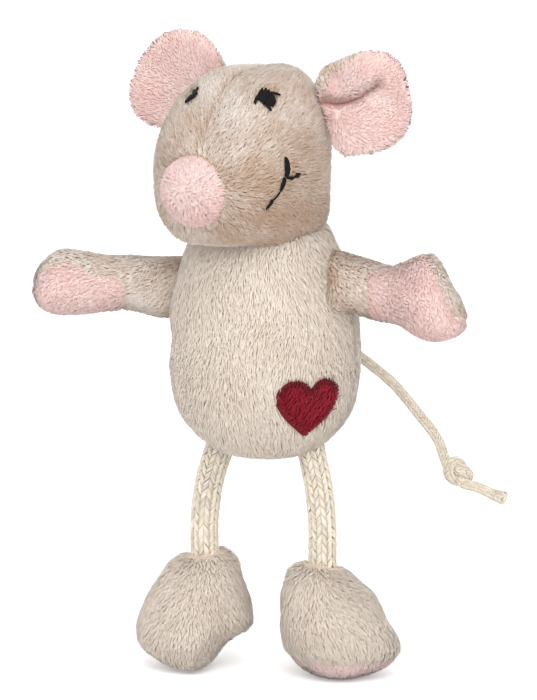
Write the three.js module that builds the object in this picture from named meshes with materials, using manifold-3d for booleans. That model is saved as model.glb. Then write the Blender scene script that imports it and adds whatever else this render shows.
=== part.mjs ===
// Plush mouse toy for a cat: stuffed head and body, arms sewn in at the shoulders,
// braided cord legs with stuffed feet, and a thin knotted cord tail.
// Millimetres, +Z up, the face looks along -Y, the toy's left is +X, soles on the floor.
import * as THREE from "three";
import { mergeVertices } from "three/addons/utils/BufferGeometryUtils.js";
import Module from "manifold-3d";

const wasm = await Module();
wasm.setup();

// Driving dimensions, fabric and fits
const clothThickness = 1.6;
const seamGap = 0.3;
const seatGap = 0.35;
const cutOverrun = 4;

// Body
const bodyBottomHeight = 55.3;
const neckHeight = 114.5;
const bodyHalfWidth = 24.7;
const bodyHalfDepth = 22.5;

// Head, measured from the middle of the neck seam
const headLength = 50;
const headBack = 16;
const headHalfWidth = 20.9;
const headHalfHeight = 25.5;
const headTurn = 18;
const noseRadius = 9.8;
const noseDepth = 6.6;
const noseReach = 30.4;
const noseRise = 16.6;

// Face embroidery
const stitchThickness = 0.8;
const eyeRadius = 2.5;
const eyeSpread = 11.8;
const eyeReach = 16.8;
const eyeRise = 38.6;
const eyeTilt = 54;
const eyeYaw = 46;
const mouthReach = 18.3;
const mouthRise = 22.3;
const mouthWidth = 1.5;
const mouthHeight = 6;
const mouthDropReach = 6;
const mouthDropRise = 9.6;

// Ears
const earRadius = 13.6;
const earThickness = 4.4;
const earBaseDistance = 11.4;
const earCup = 2.6;
const earBaseSpread = 19;
const earBaseBack = 3;
const earBaseRise = 33;
const earTilt = 24;
const leftEarTurn = 20;
const rightEarTurn = -10;

// Heart on the left hip
const heartWidth = 18;
const heartHeight = 16.4;
const heartTurn = 46;
const heartRise = 73.6;

// Arms
const shoulderSpread = 26.6;
const shoulderRadius = 8.4;
const leftShoulderHeight = 102.2;
const rightShoulderHeight = 99.8;
const armReach = 36;
const armHalfDepth = 8.6;
const armHalfHeight = 9.3;
const leftArmTurn = 30;
const rightArmTurn = 27;
const leftArmDrop = 2;
const rightArmDrop = -2;
const palmStart = 11.5;
const palmTilt = 60;

// Legs and feet
const legCordWidth = 7;
const legCordThickness = 6;
const hipSpread = 12.5;
const hipHeight = 57.4;
const leftAnkleSpread = 15.4;
const rightAnkleSpread = 16.6;
const ankleHeight = 29.8;
const footHeight = 30;
const footHalfWidth = 14.4;
const footHalfLength = 15.6;
const leftFootTurn = 50;
const rightFootTurn = 10;
const footFlat = 0.5;
const soleHeight = 4.6;

// Tail
const tailCordDiameter = 2.3;
const tailExitHeight = 83;
const knotSize = 2.9;

// Resolution of the round forms
const bodySides = 20;
const bodyRings = 13;
const coreSides = 12;
const coreRings = 7;
const limbSides = 14;
const limbRings = 10;
const limbCoreSides = 8;
const limbCoreRings = 5;
const seatSides = 14;
const patchSides = 28;
const heartCurveSteps = 7;
const earPoints = 16;
const cordSides = 12;
const tailSides = 8;
const legSteps = 7;
const tailSteps = 80;

const X = new THREE.Vector3(1, 0, 0);
const Y = new THREE.Vector3(0, 1, 0);
const Z = new THREE.Vector3(0, 0, 1);
const deg = THREE.MathUtils.degToRad;

// Materials
function fabric(color, roughness = 0.95) {
  return new THREE.MeshStandardMaterial({ color, roughness, metalness: 0 });
}
const creamPlush = fabric(0xdfd1be);
const beigePlush = fabric(0xccb9a8);
const pinkPlush = fabric(0xf3cbc2);
const wadding = fabric(0xf6f4ee);
const cottonCord = fabric(0xece2c8);
const crimsonThread = fabric(0x8c1533, 0.5);
const blackThread = fabric(0x141414, 0.5);

// Solids and booleans
function toSolid(geometry) {
  const plain = geometry.clone();
  plain.deleteAttribute("normal");
  plain.deleteAttribute("uv");
  const merged = mergeVertices(plain);
  return new wasm.Manifold(
    new wasm.Mesh({
      numProp: 3,
      vertProperties: new Float32Array(merged.attributes.position.array),
      triVerts: new Uint32Array(merged.index.array),
    })
  );
}

function toGeometry(solid) {
  const mesh = solid.getMesh();
  const geometry = new THREE.BufferGeometry();
  geometry.setAttribute("position", new THREE.BufferAttribute(new Float32Array(mesh.vertProperties), 3));
  geometry.setIndex(new THREE.BufferAttribute(new Uint32Array(mesh.triVerts), 1));
  geometry.computeVertexNormals();
  return geometry;
}

function addPiece(parent, name, shape, material) {
  const geometry = shape.isBufferGeometry ? shape : toGeometry(shape);
  const mesh = new THREE.Mesh(geometry, material);
  mesh.name = name;
  parent.add(mesh);
}

function placed(geometry, { turns = [], at = new THREE.Vector3() }) {
  const copy = geometry.clone();
  for (const [axis, angle] of turns) {
    copy.applyMatrix4(new THREE.Matrix4().makeRotationAxis(axis, deg(angle)));
  }
  copy.translate(at.x, at.y, at.z);
  return copy;
}

// A block from one corner to the other
function block(low, high) {
  const size = high.clone().sub(low);
  const middle = high.clone().add(low).multiplyScalar(0.5);
  return toSolid(placed(new THREE.BoxGeometry(size.x, size.y, size.z), { at: middle }));
}

function ball(radius, at, sides = seatSides) {
  return toSolid(placed(new THREE.SphereGeometry(radius, sides, sides / 2), { at }));
}

// A round pocket whose flats still clear a ball that turns in it
function pocket(radius, at) {
  return ball((radius + seatGap) / Math.cos(Math.PI / seatSides) ** 2, at);
}

// A closed skin through rings of points, each ring seen anticlockwise from the far end
function skinRings(startPole, rings, endPole) {
  const count = rings[0].length;
  const points = [startPole, ...rings.flat(), endPole];
  const index = [];
  const at = (ring, k) => 1 + ring * count + (k % count);
  for (let k = 0; k < count; k++) {
    index.push(0, at(0, k + 1), at(0, k));
    index.push(points.length - 1, at(rings.length - 1, k), at(rings.length - 1, k + 1));
    for (let ring = 0; ring + 1 < rings.length; ring++) {
      index.push(at(ring, k), at(ring, k + 1), at(ring + 1, k + 1));
      index.push(at(ring, k), at(ring + 1, k + 1), at(ring + 1, k));
    }
  }
  const geometry = new THREE.BufferGeometry().setFromPoints(points);
  geometry.setIndex(index);
  return geometry;
}

// The least half size of a ring, as a share of the cloth
const poleShare = 0.12;

// A stuffed form that swells and tapers along a line. Each row of shares holds the place along
// the form, its half width, its half height and the rise of its middle.
function stuffedForm(form, growth = 0) {
  const { origin, along, up, length, halfWidth, halfHeight, shares, sides, rings, squareness = 2 } = form;
  const across = up.clone().cross(along);
  const sizes = new THREE.CatmullRomCurve3(
    shares.map(
      ([place, wide, high]) => new THREE.Vector3(place * length, wide * halfWidth, high * halfHeight)
    ),
    false,
    "centripetal"
  );
  const rises = new THREE.CatmullRomCurve3(
    shares.map(([place, , , rise]) => new THREE.Vector3(place * length, rise * halfHeight, 0)),
    false,
    "centripetal"
  );
  const riseAt = (place) => {
    const last = shares.length - 1;
    let k = 0;
    while (k < last - 1 && place > shares[k + 1][0] * length) k++;
    const share = (place - shares[k][0] * length) / ((shares[k + 1][0] - shares[k][0]) * length);
    return rises.getPoint((k + THREE.MathUtils.clamp(share, 0, 1)) / last).y;
  };
  const pointAt = (place, wide, high) =>
    origin
      .clone()
      .addScaledVector(along, place)
      .addScaledVector(across, wide)
      .addScaledVector(up, high);
  const points = sizes.getSpacedPoints(rings + 1);
  const outline = points.map((point, k) => {
    const before = points[Math.max(k - 1, 0)];
    const after = points[Math.min(k + 1, points.length - 1)];
    const run = after.x - before.x;
    const climb = (after.y + after.z - before.y - before.z) / 2;
    const slant = Math.hypot(run, climb);
    return {
      place: point.x - (growth * climb) / slant,
      wide: Math.max(point.y + (growth * run) / slant, clothThickness * poleShare),
      high: Math.max(point.z + (growth * run) / slant, clothThickness * poleShare),
      rise: riseAt(point.x),
    };
  });
  const loops = outline.slice(1, -1).map(({ place, wide, high, rise }) =>
    Array.from({ length: sides }, (_, k) => {
      const angle = (2 * Math.PI * k) / sides;
      const c = Math.sign(Math.cos(angle)) * Math.abs(Math.cos(angle)) ** (2 / squareness);
      const s = Math.sign(Math.sin(angle)) * Math.abs(Math.sin(angle)) ** (2 / squareness);
      return pointAt(place, wide * c, rise + high * s);
    })
  );
  const start = points[0];
  const end = points[points.length - 1];
  return toSolid(
    skinRings(
      pointAt(start.x - growth, 0, riseAt(start.x)),
      loops,
      pointAt(end.x + growth, 0, riseAt(end.x))
    )
  );
}

// A thin embroidered patch: the part of an outward prism that lies just over a form
function patch(form, prism) {
  const shell = stuffedForm(form, seamGap + stitchThickness).subtract(stuffedForm(form, seamGap));
  return shell.intersect(toSolid(prism));
}

// The whole toy
const toy = new THREE.Group();
toy.name = "plush_mouse";

// Body
const bodyForm = {
  origin: new THREE.Vector3(0, 0, bodyBottomHeight),
  along: Z,
  up: Y,
  length: neckHeight - bodyBottomHeight,
  halfWidth: bodyHalfWidth,
  halfHeight: bodyHalfDepth,
  shares: [
    [0, 0, 0, 0],
    [0.014, 0.25, 0.25, 0],
    [0.05, 0.53, 0.53, 0],
    [0.12, 0.76, 0.76, 0],
    [0.22, 0.92, 0.92, 0],
    [0.39, 1, 1, 0],
    [0.62, 0.99, 0.99, 0],
    [0.78, 0.93, 0.95, 0],
    [0.91, 0.84, 0.9, 0],
    [1, 0.74, 0.8, 0],
    [1.11, 0.52, 0.56, 0],
    [1.16, 0, 0, 0],
  ],
  sides: bodySides,
  rings: bodyRings,
};

const bodyReach = bodyHalfWidth + bodyHalfDepth + cutOverrun;

// Everything of the body from a height up
function bodyAbove(height) {
  return block(
    new THREE.Vector3(-bodyReach, -bodyReach, height),
    new THREE.Vector3(bodyReach, bodyReach, height + bodyReach)
  );
}

function shoulderAt(side) {
  return new THREE.Vector3(side * shoulderSpread, 0, side > 0 ? leftShoulderHeight : rightShoulderHeight);
}

function hipAt(side) {
  return new THREE.Vector3(side * hipSpread, 0, hipHeight);
}

// The tail leaves the back seam here, where the body's own skin lies
const tailExit = new THREE.Vector3(0, bodyHalfDepth, tailExitHeight);

// Seats of the limbs and the tail in the body
const bodySeats = [1, -1].flatMap((side) => [
  pocket(shoulderRadius, shoulderAt(side)),
  pocket(legCordWidth / 2, hipAt(side)),
]);
bodySeats.push(pocket(tailCordDiameter / 2, tailExit));

function cutAll(solid, cutters) {
  return cutters.reduce((left, cutter) => left.subtract(cutter), solid);
}

// The space inside a cover, and the stuffing that fills it, are the same coarser form
const bodyCore = { ...bodyForm, sides: coreSides, rings: coreRings };
const bodyWall = cutAll(stuffedForm(bodyForm).subtract(stuffedForm(bodyCore, -clothThickness)), [
  bodyAbove(neckHeight),
  ...bodySeats,
]);

function bodyPanel(low, high) {
  return bodyWall.intersect(block(low, high));
}

const torso = new THREE.Group();
toy.add(torso);
const halfSeam = seamGap / 2;
addPiece(
  torso,
  "body_front_panel",
  bodyPanel(new THREE.Vector3(-bodyReach, -bodyReach, 0), new THREE.Vector3(bodyReach, -halfSeam, neckHeight)),
  creamPlush
);
addPiece(
  torso,
  "body_back_left_panel",
  bodyPanel(new THREE.Vector3(halfSeam, halfSeam, 0), new THREE.Vector3(bodyReach, bodyReach, neckHeight)),
  creamPlush
);
addPiece(
  torso,
  "body_back_right_panel",
  bodyPanel(new THREE.Vector3(-bodyReach, halfSeam, 0), new THREE.Vector3(-halfSeam, bodyReach, neckHeight)),
  creamPlush
);
addPiece(
  torso,
  "body_stuffing",
  cutAll(stuffedForm(bodyCore, -clothThickness - seamGap), [bodyAbove(neckHeight), ...bodySeats]),
  wadding
);

// Heart outline, from its point round both lobes. The shares are of the half width, and of the
// height below and above the middle.
const heartLowShare = 0.56;
const heartShares = [
  [0.35, -0.4, 1, -0.16, 1, 0.15],
  [1, 0.42, 0.22, 0.56, 0, 0.22],
  [-0.22, 0.56, -1, 0.42, -1, 0.15],
  [-1, -0.16, -0.35, -0.4, 0, -heartLowShare],
];
function heartShape() {
  const shape = new THREE.Shape();
  shape.moveTo(0, -heartHeight * heartLowShare);
  for (const row of heartShares) {
    shape.bezierCurveTo(...row.map((share, k) => share * (k % 2 ? heartHeight : heartWidth / 2)));
  }
  return shape;
}
const heartBlock = new THREE.ExtrudeGeometry(heartShape(), {
  depth: bodyReach,
  bevelEnabled: false,
  curveSegments: heartCurveSteps,
});
const heartPrism = placed(heartBlock, {
  turns: [
    [X, 90],
    [Z, heartTurn],
  ],
  at: new THREE.Vector3(0, 0, heartRise),
});
addPiece(torso, "heart_patch", patch({ ...bodyForm, sides: patchSides }, heartPrism), crimsonThread);

// Head
const head = new THREE.Group();
head.name = "head";
head.position.z = neckHeight;
head.rotation.z = deg(-headTurn);
toy.add(head);

const headForm = {
  origin: new THREE.Vector3(0, headBack, 0),
  along: Y.clone().negate(),
  up: Z,
  length: headLength,
  halfWidth: headHalfWidth,
  halfHeight: headHalfHeight,
  shares: [
    [0, 0, 0, 0.78],
    [0.02, 0.3, 0.28, 0.78],
    [0.09, 0.64, 0.67, 0.78],
    [0.2, 0.85, 0.92, 0.775],
    [0.32, 0.95, 1, 0.785],
    [0.46, 1, 0.99, 0.79],
    [0.58, 1, 0.94, 0.805],
    [0.7, 0.96, 0.82, 0.8],
    [0.8, 0.88, 0.71, 0.725],
    [0.88, 0.75, 0.56, 0.675],
    [0.95, 0.52, 0.37, 0.65],
    [1, 0, 0, 0.64],
  ],
  sides: bodySides,
  rings: bodyRings + 1,
  squareness: 2.5,
};
const headReach = headLength + cutOverrun;

// Everything of the head below the neck seam
const belowNeck = block(
  new THREE.Vector3(-headReach, -headReach, -headReach),
  new THREE.Vector3(headReach, headReach, seatGap)
);

// The ear's base is a round edge that lies in a groove of the head, so the ear can fold
const earEdgeRadius = earThickness / 2;
const earGrooveLength = 2 * Math.sqrt(earRadius ** 2 - earBaseDistance ** 2);

function earFrame(side) {
  const frame = new THREE.Group();
  frame.position.set(side * earBaseSpread, earBaseBack, earBaseRise);
  const turn = side > 0 ? leftEarTurn : rightEarTurn;
  frame.rotation.set(0, side * deg(-earTilt), side * deg(turn), "ZYX");
  frame.updateMatrix();
  return frame;
}

function earGroove(side) {
  const groove = new THREE.CapsuleGeometry(earEdgeRadius + seatGap, earGrooveLength, 4, cordSides);
  groove.rotateX(Math.PI / 2);
  groove.applyMatrix4(earFrame(side).matrix);
  return toSolid(groove);
}
const headSeats = [earGroove(1), earGroove(-1)];

const noseBall = new THREE.SphereGeometry(noseRadius, limbSides, limbSides / 2).scale(1, noseDepth / noseRadius, 1);
const noseShape = placed(noseBall, { at: new THREE.Vector3(0, -noseReach, noseRise) });
addPiece(head, "nose_tip", toSolid(noseShape).subtract(stuffedForm(headForm, seamGap)), pinkPlush);

const headCore = { ...headForm, sides: coreSides, rings: coreRings + 1 };
const headWall = cutAll(stuffedForm(headForm).subtract(stuffedForm(headCore, -clothThickness)), [
  belowNeck,
  ...headSeats,
]);
for (const [name, side] of [
  ["head_left_panel", 1],
  ["head_right_panel", -1],
]) {
  const near = side > 0 ? halfSeam : -headReach;
  const far = side > 0 ? headReach : -halfSeam;
  const half = block(new THREE.Vector3(near, -headReach, 0), new THREE.Vector3(far, headReach, headReach));
  addPiece(head, name, headWall.intersect(half), beigePlush);
}
addPiece(
  head,
  "head_stuffing",
  cutAll(stuffedForm(headCore, -clothThickness - seamGap), [belowNeck, ...headSeats]),
  wadding
);

// Eyes: round patches with ragged edges of satin stitch
for (const [name, side] of [
  ["left_eye", 1],
  ["right_eye", -1],
]) {
  const prism = placed(new THREE.CylinderGeometry(eyeRadius, eyeRadius, 2 * eyeRadius + cutOverrun, limbSides), {
    turns: [
      [X, -eyeTilt],
      [Z, side * eyeYaw],
    ],
    at: new THREE.Vector3(side * eyeSpread, -eyeReach, eyeRise),
  });
  addPiece(head, name, patch(headForm, prism), blackThread);
}

// Mouths: a stitched bracket on each cheek with a line that runs down and forward
function mouthShape() {
  const half = mouthWidth / 2;
  const shape = new THREE.Shape();
  shape.moveTo(-half, mouthHeight / 2);
  shape.lineTo(-half, -mouthHeight / 2);
  shape.lineTo(-mouthDropReach, -mouthDropRise);
  shape.lineTo(-mouthDropReach + half, -mouthDropRise - half);
  shape.lineTo(half, -mouthHeight / 2 - half);
  shape.lineTo(half + mouthWidth, -mouthHeight / 4);
  shape.lineTo(half, -mouthHeight / 4 + half);
  shape.lineTo(half, mouthHeight / 2);
  return shape;
}
for (const [name, side] of [
  ["left_mouth", 1],
  ["right_mouth", -1],
]) {
  const prism = new THREE.ExtrudeGeometry(mouthShape(), { depth: headHalfWidth + cutOverrun, bevelEnabled: false });
  prism.applyMatrix4(new THREE.Matrix4().makeBasis(Y, Z, X));
  prism.translate(0, -mouthReach, mouthRise);
  let solid = toSolid(prism);
  if (side < 0) solid = solid.mirror([1, 0, 0]);
  const layer = stuffedForm(headForm, seamGap + stitchThickness).subtract(stuffedForm(headForm, seamGap));
  addPiece(head, name, layer.intersect(solid), blackThread);
}

// Ears: a back and a lining, sewn round the rim, cupped forward away from the base
const earRingShare = 0.45;
const earRimAngles = [35, 65, 90];
function earLayer(outward, side) {
  const middle = earBaseDistance - earEdgeRadius;
  const outline = (angle) => Math.min(earRadius, earBaseDistance / Math.max(-Math.cos(angle), 0.001));
  const point = (share, inset, offset, k) => {
    const angle = (2 * Math.PI * (outward > 0 ? -k : k)) / earPoints;
    const radius = Math.max(outline(angle) * share - inset, 0);
    const cup = -earCup * ((share * (1 + Math.cos(angle))) / 2) ** 2;
    return new THREE.Vector3(side * (middle + radius * Math.cos(angle)), offset + cup, radius * Math.sin(angle));
  };
  const ring = (share, inset, offset) => {
    const loop = Array.from({ length: earPoints }, (_, k) => point(share, inset, offset, k));
    return side > 0 ? loop : loop.reverse();
  };
  const inner = outward * halfSeam;
  const depth = earEdgeRadius - halfSeam;
  const rings = [ring(earRingShare, 0, inner), ring(1, 0, inner)];
  for (const angle of earRimAngles) {
    const inset = earEdgeRadius * (1 - Math.cos(deg(angle)));
    rings.push(ring(1, inset, inner + outward * depth * Math.sin(deg(angle))));
  }
  rings.push(ring(earRingShare, 0, inner + outward * depth));
  const startPole = point(0, 0, inner, 0);
  const endPole = point(0, 0, inner + outward * depth, 0);
  return skinRings(startPole, rings, endPole);
}
for (const [name, side] of [
  ["left_ear", 1],
  ["right_ear", -1],
]) {
  const ear = earFrame(side);
  ear.name = `${name}_hinge`;
  head.add(ear);
  addPiece(ear, `${name}_back`, earLayer(1, side), beigePlush);
  addPiece(ear, `${name}_lining`, earLayer(-1, side), pinkPlush);
}

// Arms
function makeArm(name, side) {
  const arm = new THREE.Group();
  const drop = side > 0 ? leftArmDrop : rightArmDrop;
  const forward = side > 0 ? leftArmTurn : rightArmTurn;
  arm.name = `${name}_arm`;
  arm.position.copy(shoulderAt(side));
  arm.rotation.set(0, side * deg(drop), side * deg(-forward), "ZYX");
  toy.add(arm);
  const form = {
    origin: new THREE.Vector3(),
    along: X.clone().multiplyScalar(side),
    up: Z,
    length: armReach,
    halfWidth: armHalfDepth,
    halfHeight: armHalfHeight,
    shares: [
      [-0.1, 0, 0, 0],
      [-0.07, 0.55, 0.55, 0],
      [0, 0.87, 0.85, 0],
      [0.2, 0.87, 0.84, 0],
      [0.42, 0.92, 0.9, 0],
      [0.64, 1, 1, 0],
      [0.8, 0.97, 0.98, 0],
      [0.92, 0.74, 0.75, 0],
      [0.98, 0.4, 0.4, 0],
      [1, 0, 0, 0],
    ],
    sides: limbSides,
    rings: limbRings,
  };
  const core = { ...form, sides: limbCoreSides, rings: limbCoreRings };
  const root = ball(shoulderRadius, new THREE.Vector3());
  const wall = stuffedForm(form).add(root).subtract(stuffedForm(core, -clothThickness));
  const palmSide = (gap) => {
    const low = new THREE.Vector3(palmStart + gap, -armReach, -armReach);
    const high = new THREE.Vector3(armReach + cutOverrun, armReach, -gap);
    const box = placed(new THREE.BoxGeometry(high.x - low.x, high.y - low.y, high.z - low.z), {
      at: low.clone().add(high).multiplyScalar(0.5),
    });
    const half = toSolid(placed(box, { turns: [[X, palmTilt - 90]] }));
    return side > 0 ? half : half.mirror([1, 0, 0]);
  };
  addPiece(arm, `${name}_arm_cover`, wall.subtract(palmSide(-halfSeam)), beigePlush);
  addPiece(arm, `${name}_palm`, wall.intersect(palmSide(halfSeam)), pinkPlush);
  addPiece(arm, `${name}_arm_stuffing`, stuffedForm(core, -clothThickness - seamGap), wadding);
}
makeArm("left", 1);
makeArm("right", -1);

// Leg cords, oval, bowed out a little below the hip
function ankleAt(side) {
  return new THREE.Vector3(side > 0 ? leftAnkleSpread : -rightAnkleSpread, 0, ankleHeight);
}

const bowShare = 0.34;
const bowSpreadShare = 0.68;
const shinShare = 0.7;
function legRoute(side) {
  const hip = hipAt(side);
  const ankle = ankleAt(side);
  const bow = new THREE.Vector3().lerpVectors(hip, ankle, bowShare);
  bow.x = THREE.MathUtils.lerp(hip.x, ankle.x, bowSpreadShare);
  const shin = new THREE.Vector3().lerpVectors(hip, ankle, shinShare);
  shin.x = ankle.x;
  return new THREE.CatmullRomCurve3([hip, bow, shin, ankle], false, "centripetal");
}

function makeLeg(name, side) {
  const section = new THREE.Shape();
  section.absellipse(0, 0, legCordThickness / 2, legCordWidth / 2, 0, 2 * Math.PI);
  const strand = new THREE.ExtrudeGeometry(new THREE.Shape(section.getPoints(cordSides / 2)), {
    steps: legSteps,
    extrudePath: legRoute(side),
    bevelEnabled: false,
  });
  const end = legCordThickness / 2;
  const solid = toSolid(strand).add(ball(end, hipAt(side))).add(ball(end, ankleAt(side)));
  addPiece(toy, `${name}_leg_cord`, solid, cottonCord);
}
makeLeg("left", 1);
makeLeg("right", -1);

// Feet: an upper and a pink sole round the stuffing, the sole flattened where it stands
function makeFoot(name, side) {
  const foot = new THREE.Group();
  foot.name = `${name}_foot`;
  foot.position.set(ankleAt(side).x, 0, 0);
  foot.rotation.z = side * deg(side > 0 ? leftFootTurn : rightFootTurn);
  toy.add(foot);
  const form = {
    origin: new THREE.Vector3(0, 0, -footFlat),
    along: Z,
    up: Y.clone().negate(),
    length: footHeight + footFlat,
    halfWidth: footHalfWidth,
    halfHeight: footHalfLength,
    shares: [
      [0, 0, 0, 0.45],
      [0.022, 0.52, 0.52, 0.45],
      [0.09, 0.73, 0.74, 0.45],
      [0.2, 0.9, 0.9, 0.43],
      [0.32, 0.98, 0.99, 0.4],
      [0.46, 1, 1, 0.34],
      [0.63, 0.91, 0.89, 0.25],
      [0.79, 0.74, 0.71, 0.15],
      [0.92, 0.56, 0.53, 0.05],
      [0.985, 0.3, 0.28, 0.01],
      [1, 0, 0, 0],
    ],
    sides: limbSides,
    rings: limbRings,
  };
  const core = { ...form, sides: limbCoreSides, rings: limbCoreRings };
  const reach = footHalfLength * 2 + cutOverrun;
  const slab = (low, high) =>
    block(new THREE.Vector3(-reach, -reach, low), new THREE.Vector3(reach, reach, high));
  const seat = pocket(legCordWidth / 2, new THREE.Vector3(0, 0, ankleHeight));
  const inside = stuffedForm(core, -clothThickness).subtract(slab(-reach, clothThickness));
  const wall = stuffedForm(form).subtract(inside).subtract(slab(-reach, 0)).subtract(seat);
  const stuffing = stuffedForm(core, -clothThickness - seamGap)
    .subtract(slab(-reach, clothThickness + seamGap))
    .subtract(seat);
  addPiece(foot, `${name}_foot_upper`, wall.subtract(slab(-reach, soleHeight + halfSeam)), creamPlush);
  addPiece(foot, `${name}_sole`, wall.subtract(slab(soleHeight - halfSeam, reach)), pinkPlush);
  addPiece(foot, `${name}_foot_stuffing`, stuffing, wadding);
}
makeFoot("left", 1);
makeFoot("right", -1);

// Tail: one thin cord from the back seam to an overhand knot and a short free end. The points of
// its route are measured from the exit.
const tailStretch = [
  [0, 0, 0],
  [1.5, 3.7, 0.1],
  [6, 7, -0.9],
  [12, 9, -3.3],
  [18.5, 9.6, -7.4],
  [25, 9.4, -13.2],
  [31.2, 8.4, -20.4],
  [36.6, 7.2, -27],
];
const knotPlace = [42.9, 6, -34.4];
const tailEnd = [
  [48.3, 5.9, -39.4],
  [51.8, 6, -41.1],
  [56.2, 6.3, -42.2],
];
// Half of the overhand knot, as shares of its size: the other half is the same turned over
const knotHalfShares = [
  [1.02, 0.23, -0.29],
  [0.82, 0.7, -0.82],
  [0.18, 1.16, -0.97],
  [-0.51, 1.24, -0.64],
  [-0.87, 0.92, -0.1],
  [-0.8, 0.38, 0.41],
  [-0.27, -0.19, 0.49],
  [0.14, -0.69, 0.06],
  [0.42, -1.36, 0],
];

function toPoint([x, y, z]) {
  return new THREE.Vector3(x, y, z);
}

function routePoint(row) {
  return toPoint(row).add(tailExit);
}

function tailPoints() {
  const from = routePoint(tailStretch[tailStretch.length - 1]);
  const yAxis = from.clone().sub(routePoint(tailEnd[0])).normalize();
  const zAxis = Y.clone().negate().projectOnPlane(yAxis).normalize();
  const xAxis = yAxis.clone().cross(zAxis);
  const frame = new THREE.Matrix4().makeBasis(xAxis, yAxis, zAxis).setPosition(routePoint(knotPlace));
  const after = knotHalfShares.map((share) => toPoint(share).multiplyScalar(knotSize));
  const before = after.map((p) => new THREE.Vector3(p.x, -p.y, -p.z)).reverse();
  const knot = [...before, ...after].map((p) => p.applyMatrix4(frame));
  return [...tailStretch.map(routePoint), ...knot, ...tailEnd.map(routePoint)];
}

// The least clear space between two stretches of a cord that aren't neighbours
function leastGap(curve, diameter) {
  const count = 500;
  const points = curve.getSpacedPoints(count);
  const bend = Math.ceil((2 * diameter * count) / curve.getLength());
  let least = Infinity;
  for (let i = 0; i < points.length; i++) {
    for (let j = i + bend; j < points.length; j++) {
      least = Math.min(least, points[i].distanceTo(points[j]) - diameter);
    }
  }
  return least;
}

const tailCurve = new THREE.CatmullRomCurve3(tailPoints(), false, "centripetal");
const tailSection = new THREE.Shape();
tailSection.absarc(0, 0, tailCordDiameter / 2, 0, 2 * Math.PI);
const tail = new THREE.ExtrudeGeometry(new THREE.Shape(tailSection.getPoints(tailSides / 2)), {
  steps: tailSteps,
  extrudePath: tailCurve,
  bevelEnabled: false,
});
addPiece(toy, "tail_cord", toSolid(tail), cottonCord);

// Centre the toy on its feet, body, head and arms, without the tail
const standing = new THREE.Box3();
for (const piece of toy.children) {
  if (piece.name !== "tail_cord") standing.expandByObject(piece, true);
}
const middle = standing.getCenter(new THREE.Vector3());
toy.position.set(-middle.x, -middle.y, 0);

const knotGap = leastGap(tailCurve, tailCordDiameter);
console.log("tail cord length", tailCurve.getLength().toFixed(1), "least gap in its knot", knotGap.toFixed(2));

export default toy;
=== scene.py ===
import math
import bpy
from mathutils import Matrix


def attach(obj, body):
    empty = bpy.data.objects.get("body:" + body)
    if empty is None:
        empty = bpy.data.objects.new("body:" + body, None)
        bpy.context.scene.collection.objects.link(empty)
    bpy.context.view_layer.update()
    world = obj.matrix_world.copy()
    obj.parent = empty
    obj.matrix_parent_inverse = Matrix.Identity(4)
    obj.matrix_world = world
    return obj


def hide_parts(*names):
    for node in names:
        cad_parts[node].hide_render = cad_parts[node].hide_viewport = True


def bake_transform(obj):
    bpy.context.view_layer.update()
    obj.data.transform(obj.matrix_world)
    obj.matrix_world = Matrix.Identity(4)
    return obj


bl_info = {
    "name": "Plush Mouse Toy",
    "version": (1, 0, 0),
    "blender": (4, 5, 0),
    "location": "View3D > Sidebar > Plush Mouse",
    "description": "Sews, stuffs and dresses a small plush mouse with braided cord legs and a knotted tail",
    "category": "Object",
}

from dataclasses import dataclass

import bpy
import numpy as np
from mathutils import Matrix, Vector, kdtree
from mathutils.bvhtree import BVHTree

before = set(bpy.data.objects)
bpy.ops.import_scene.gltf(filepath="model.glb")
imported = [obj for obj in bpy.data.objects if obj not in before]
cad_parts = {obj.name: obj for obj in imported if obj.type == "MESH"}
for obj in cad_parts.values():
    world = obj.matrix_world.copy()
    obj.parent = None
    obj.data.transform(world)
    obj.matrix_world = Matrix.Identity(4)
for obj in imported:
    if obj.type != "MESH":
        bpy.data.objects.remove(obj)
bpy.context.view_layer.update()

# Lengths below are in millimetres unless a property says otherwise.
MM = 0.001
SIDES = ("left", "right")
# More than the distance of any point of the toy from a line on it.
FAR = 99.0
# The toy stands this far from its body's own middle line.
STANDING = Vector((0.3616, 6.6405, 0.0))
# The photograph's height and middle, and where the middle of the floor lies in it, in pixels.
PHOTO_HEIGHT = 700
PHOTO_MIDDLE = (268.5, 350)
PHOTO_FLOOR = (265, 666)
SENSOR_WIDTH = 36
# How far in front of the toy a line of sight starts, in metres.
SIGHT = 0.08
# How the cloth of a cover swells, and for how many frames.
WADDING = {
    "quality": 4,
    "mass": 0.15,
    "tension_stiffness": 12,
    "compression_stiffness": 4,
    "shear_stiffness": 4,
    "bending_stiffness": 0.4,
    "use_pressure": True,
    "uniform_pressure_force": 4.0,
    "vertex_group_mass": "sewn",
    "pin_stiffness": 1,
}
WADDING_FRAMES = 20
# The strength and closeness of the soft patches in the colour of each plush.
PATCHES = {"cream": (0.16, 70), "beige": (0.34, 85), "pink": (0.3, 110)}
# The colour of each plush's backing, its pile's darker root colour as painted shade between the tufts, and
# the share of it that its hollows keep as painted shade in the knit's hollows.
BACKINGS = {"cream": ("cream_root", 0.85), "beige": ("beige_root", 0.75), "pink": ("pink", 0.85)}

# Body: place along it, half width and half depth, as shares.
BODY_BOTTOM = 55.3
NECK_HEIGHT = 114.5
BODY_HALF_WIDTH = 24.7
BODY_HALF_DEPTH = 22.5
BODY_SHARES = [
    (0, 0, 0, 0), (0.014, 0.25, 0.25, 0), (0.05, 0.53, 0.53, 0), (0.12, 0.76, 0.76, 0),
    (0.22, 0.92, 0.92, 0), (0.39, 1, 1, 0), (0.62, 0.99, 0.99, 0), (0.78, 0.93, 0.95, 0),
    (0.91, 0.84, 0.9, 0), (1, 0.74, 0.8, 0), (1.06, 0.62, 0.66, 0), (1.09, 0, 0, 0),
]

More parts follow.
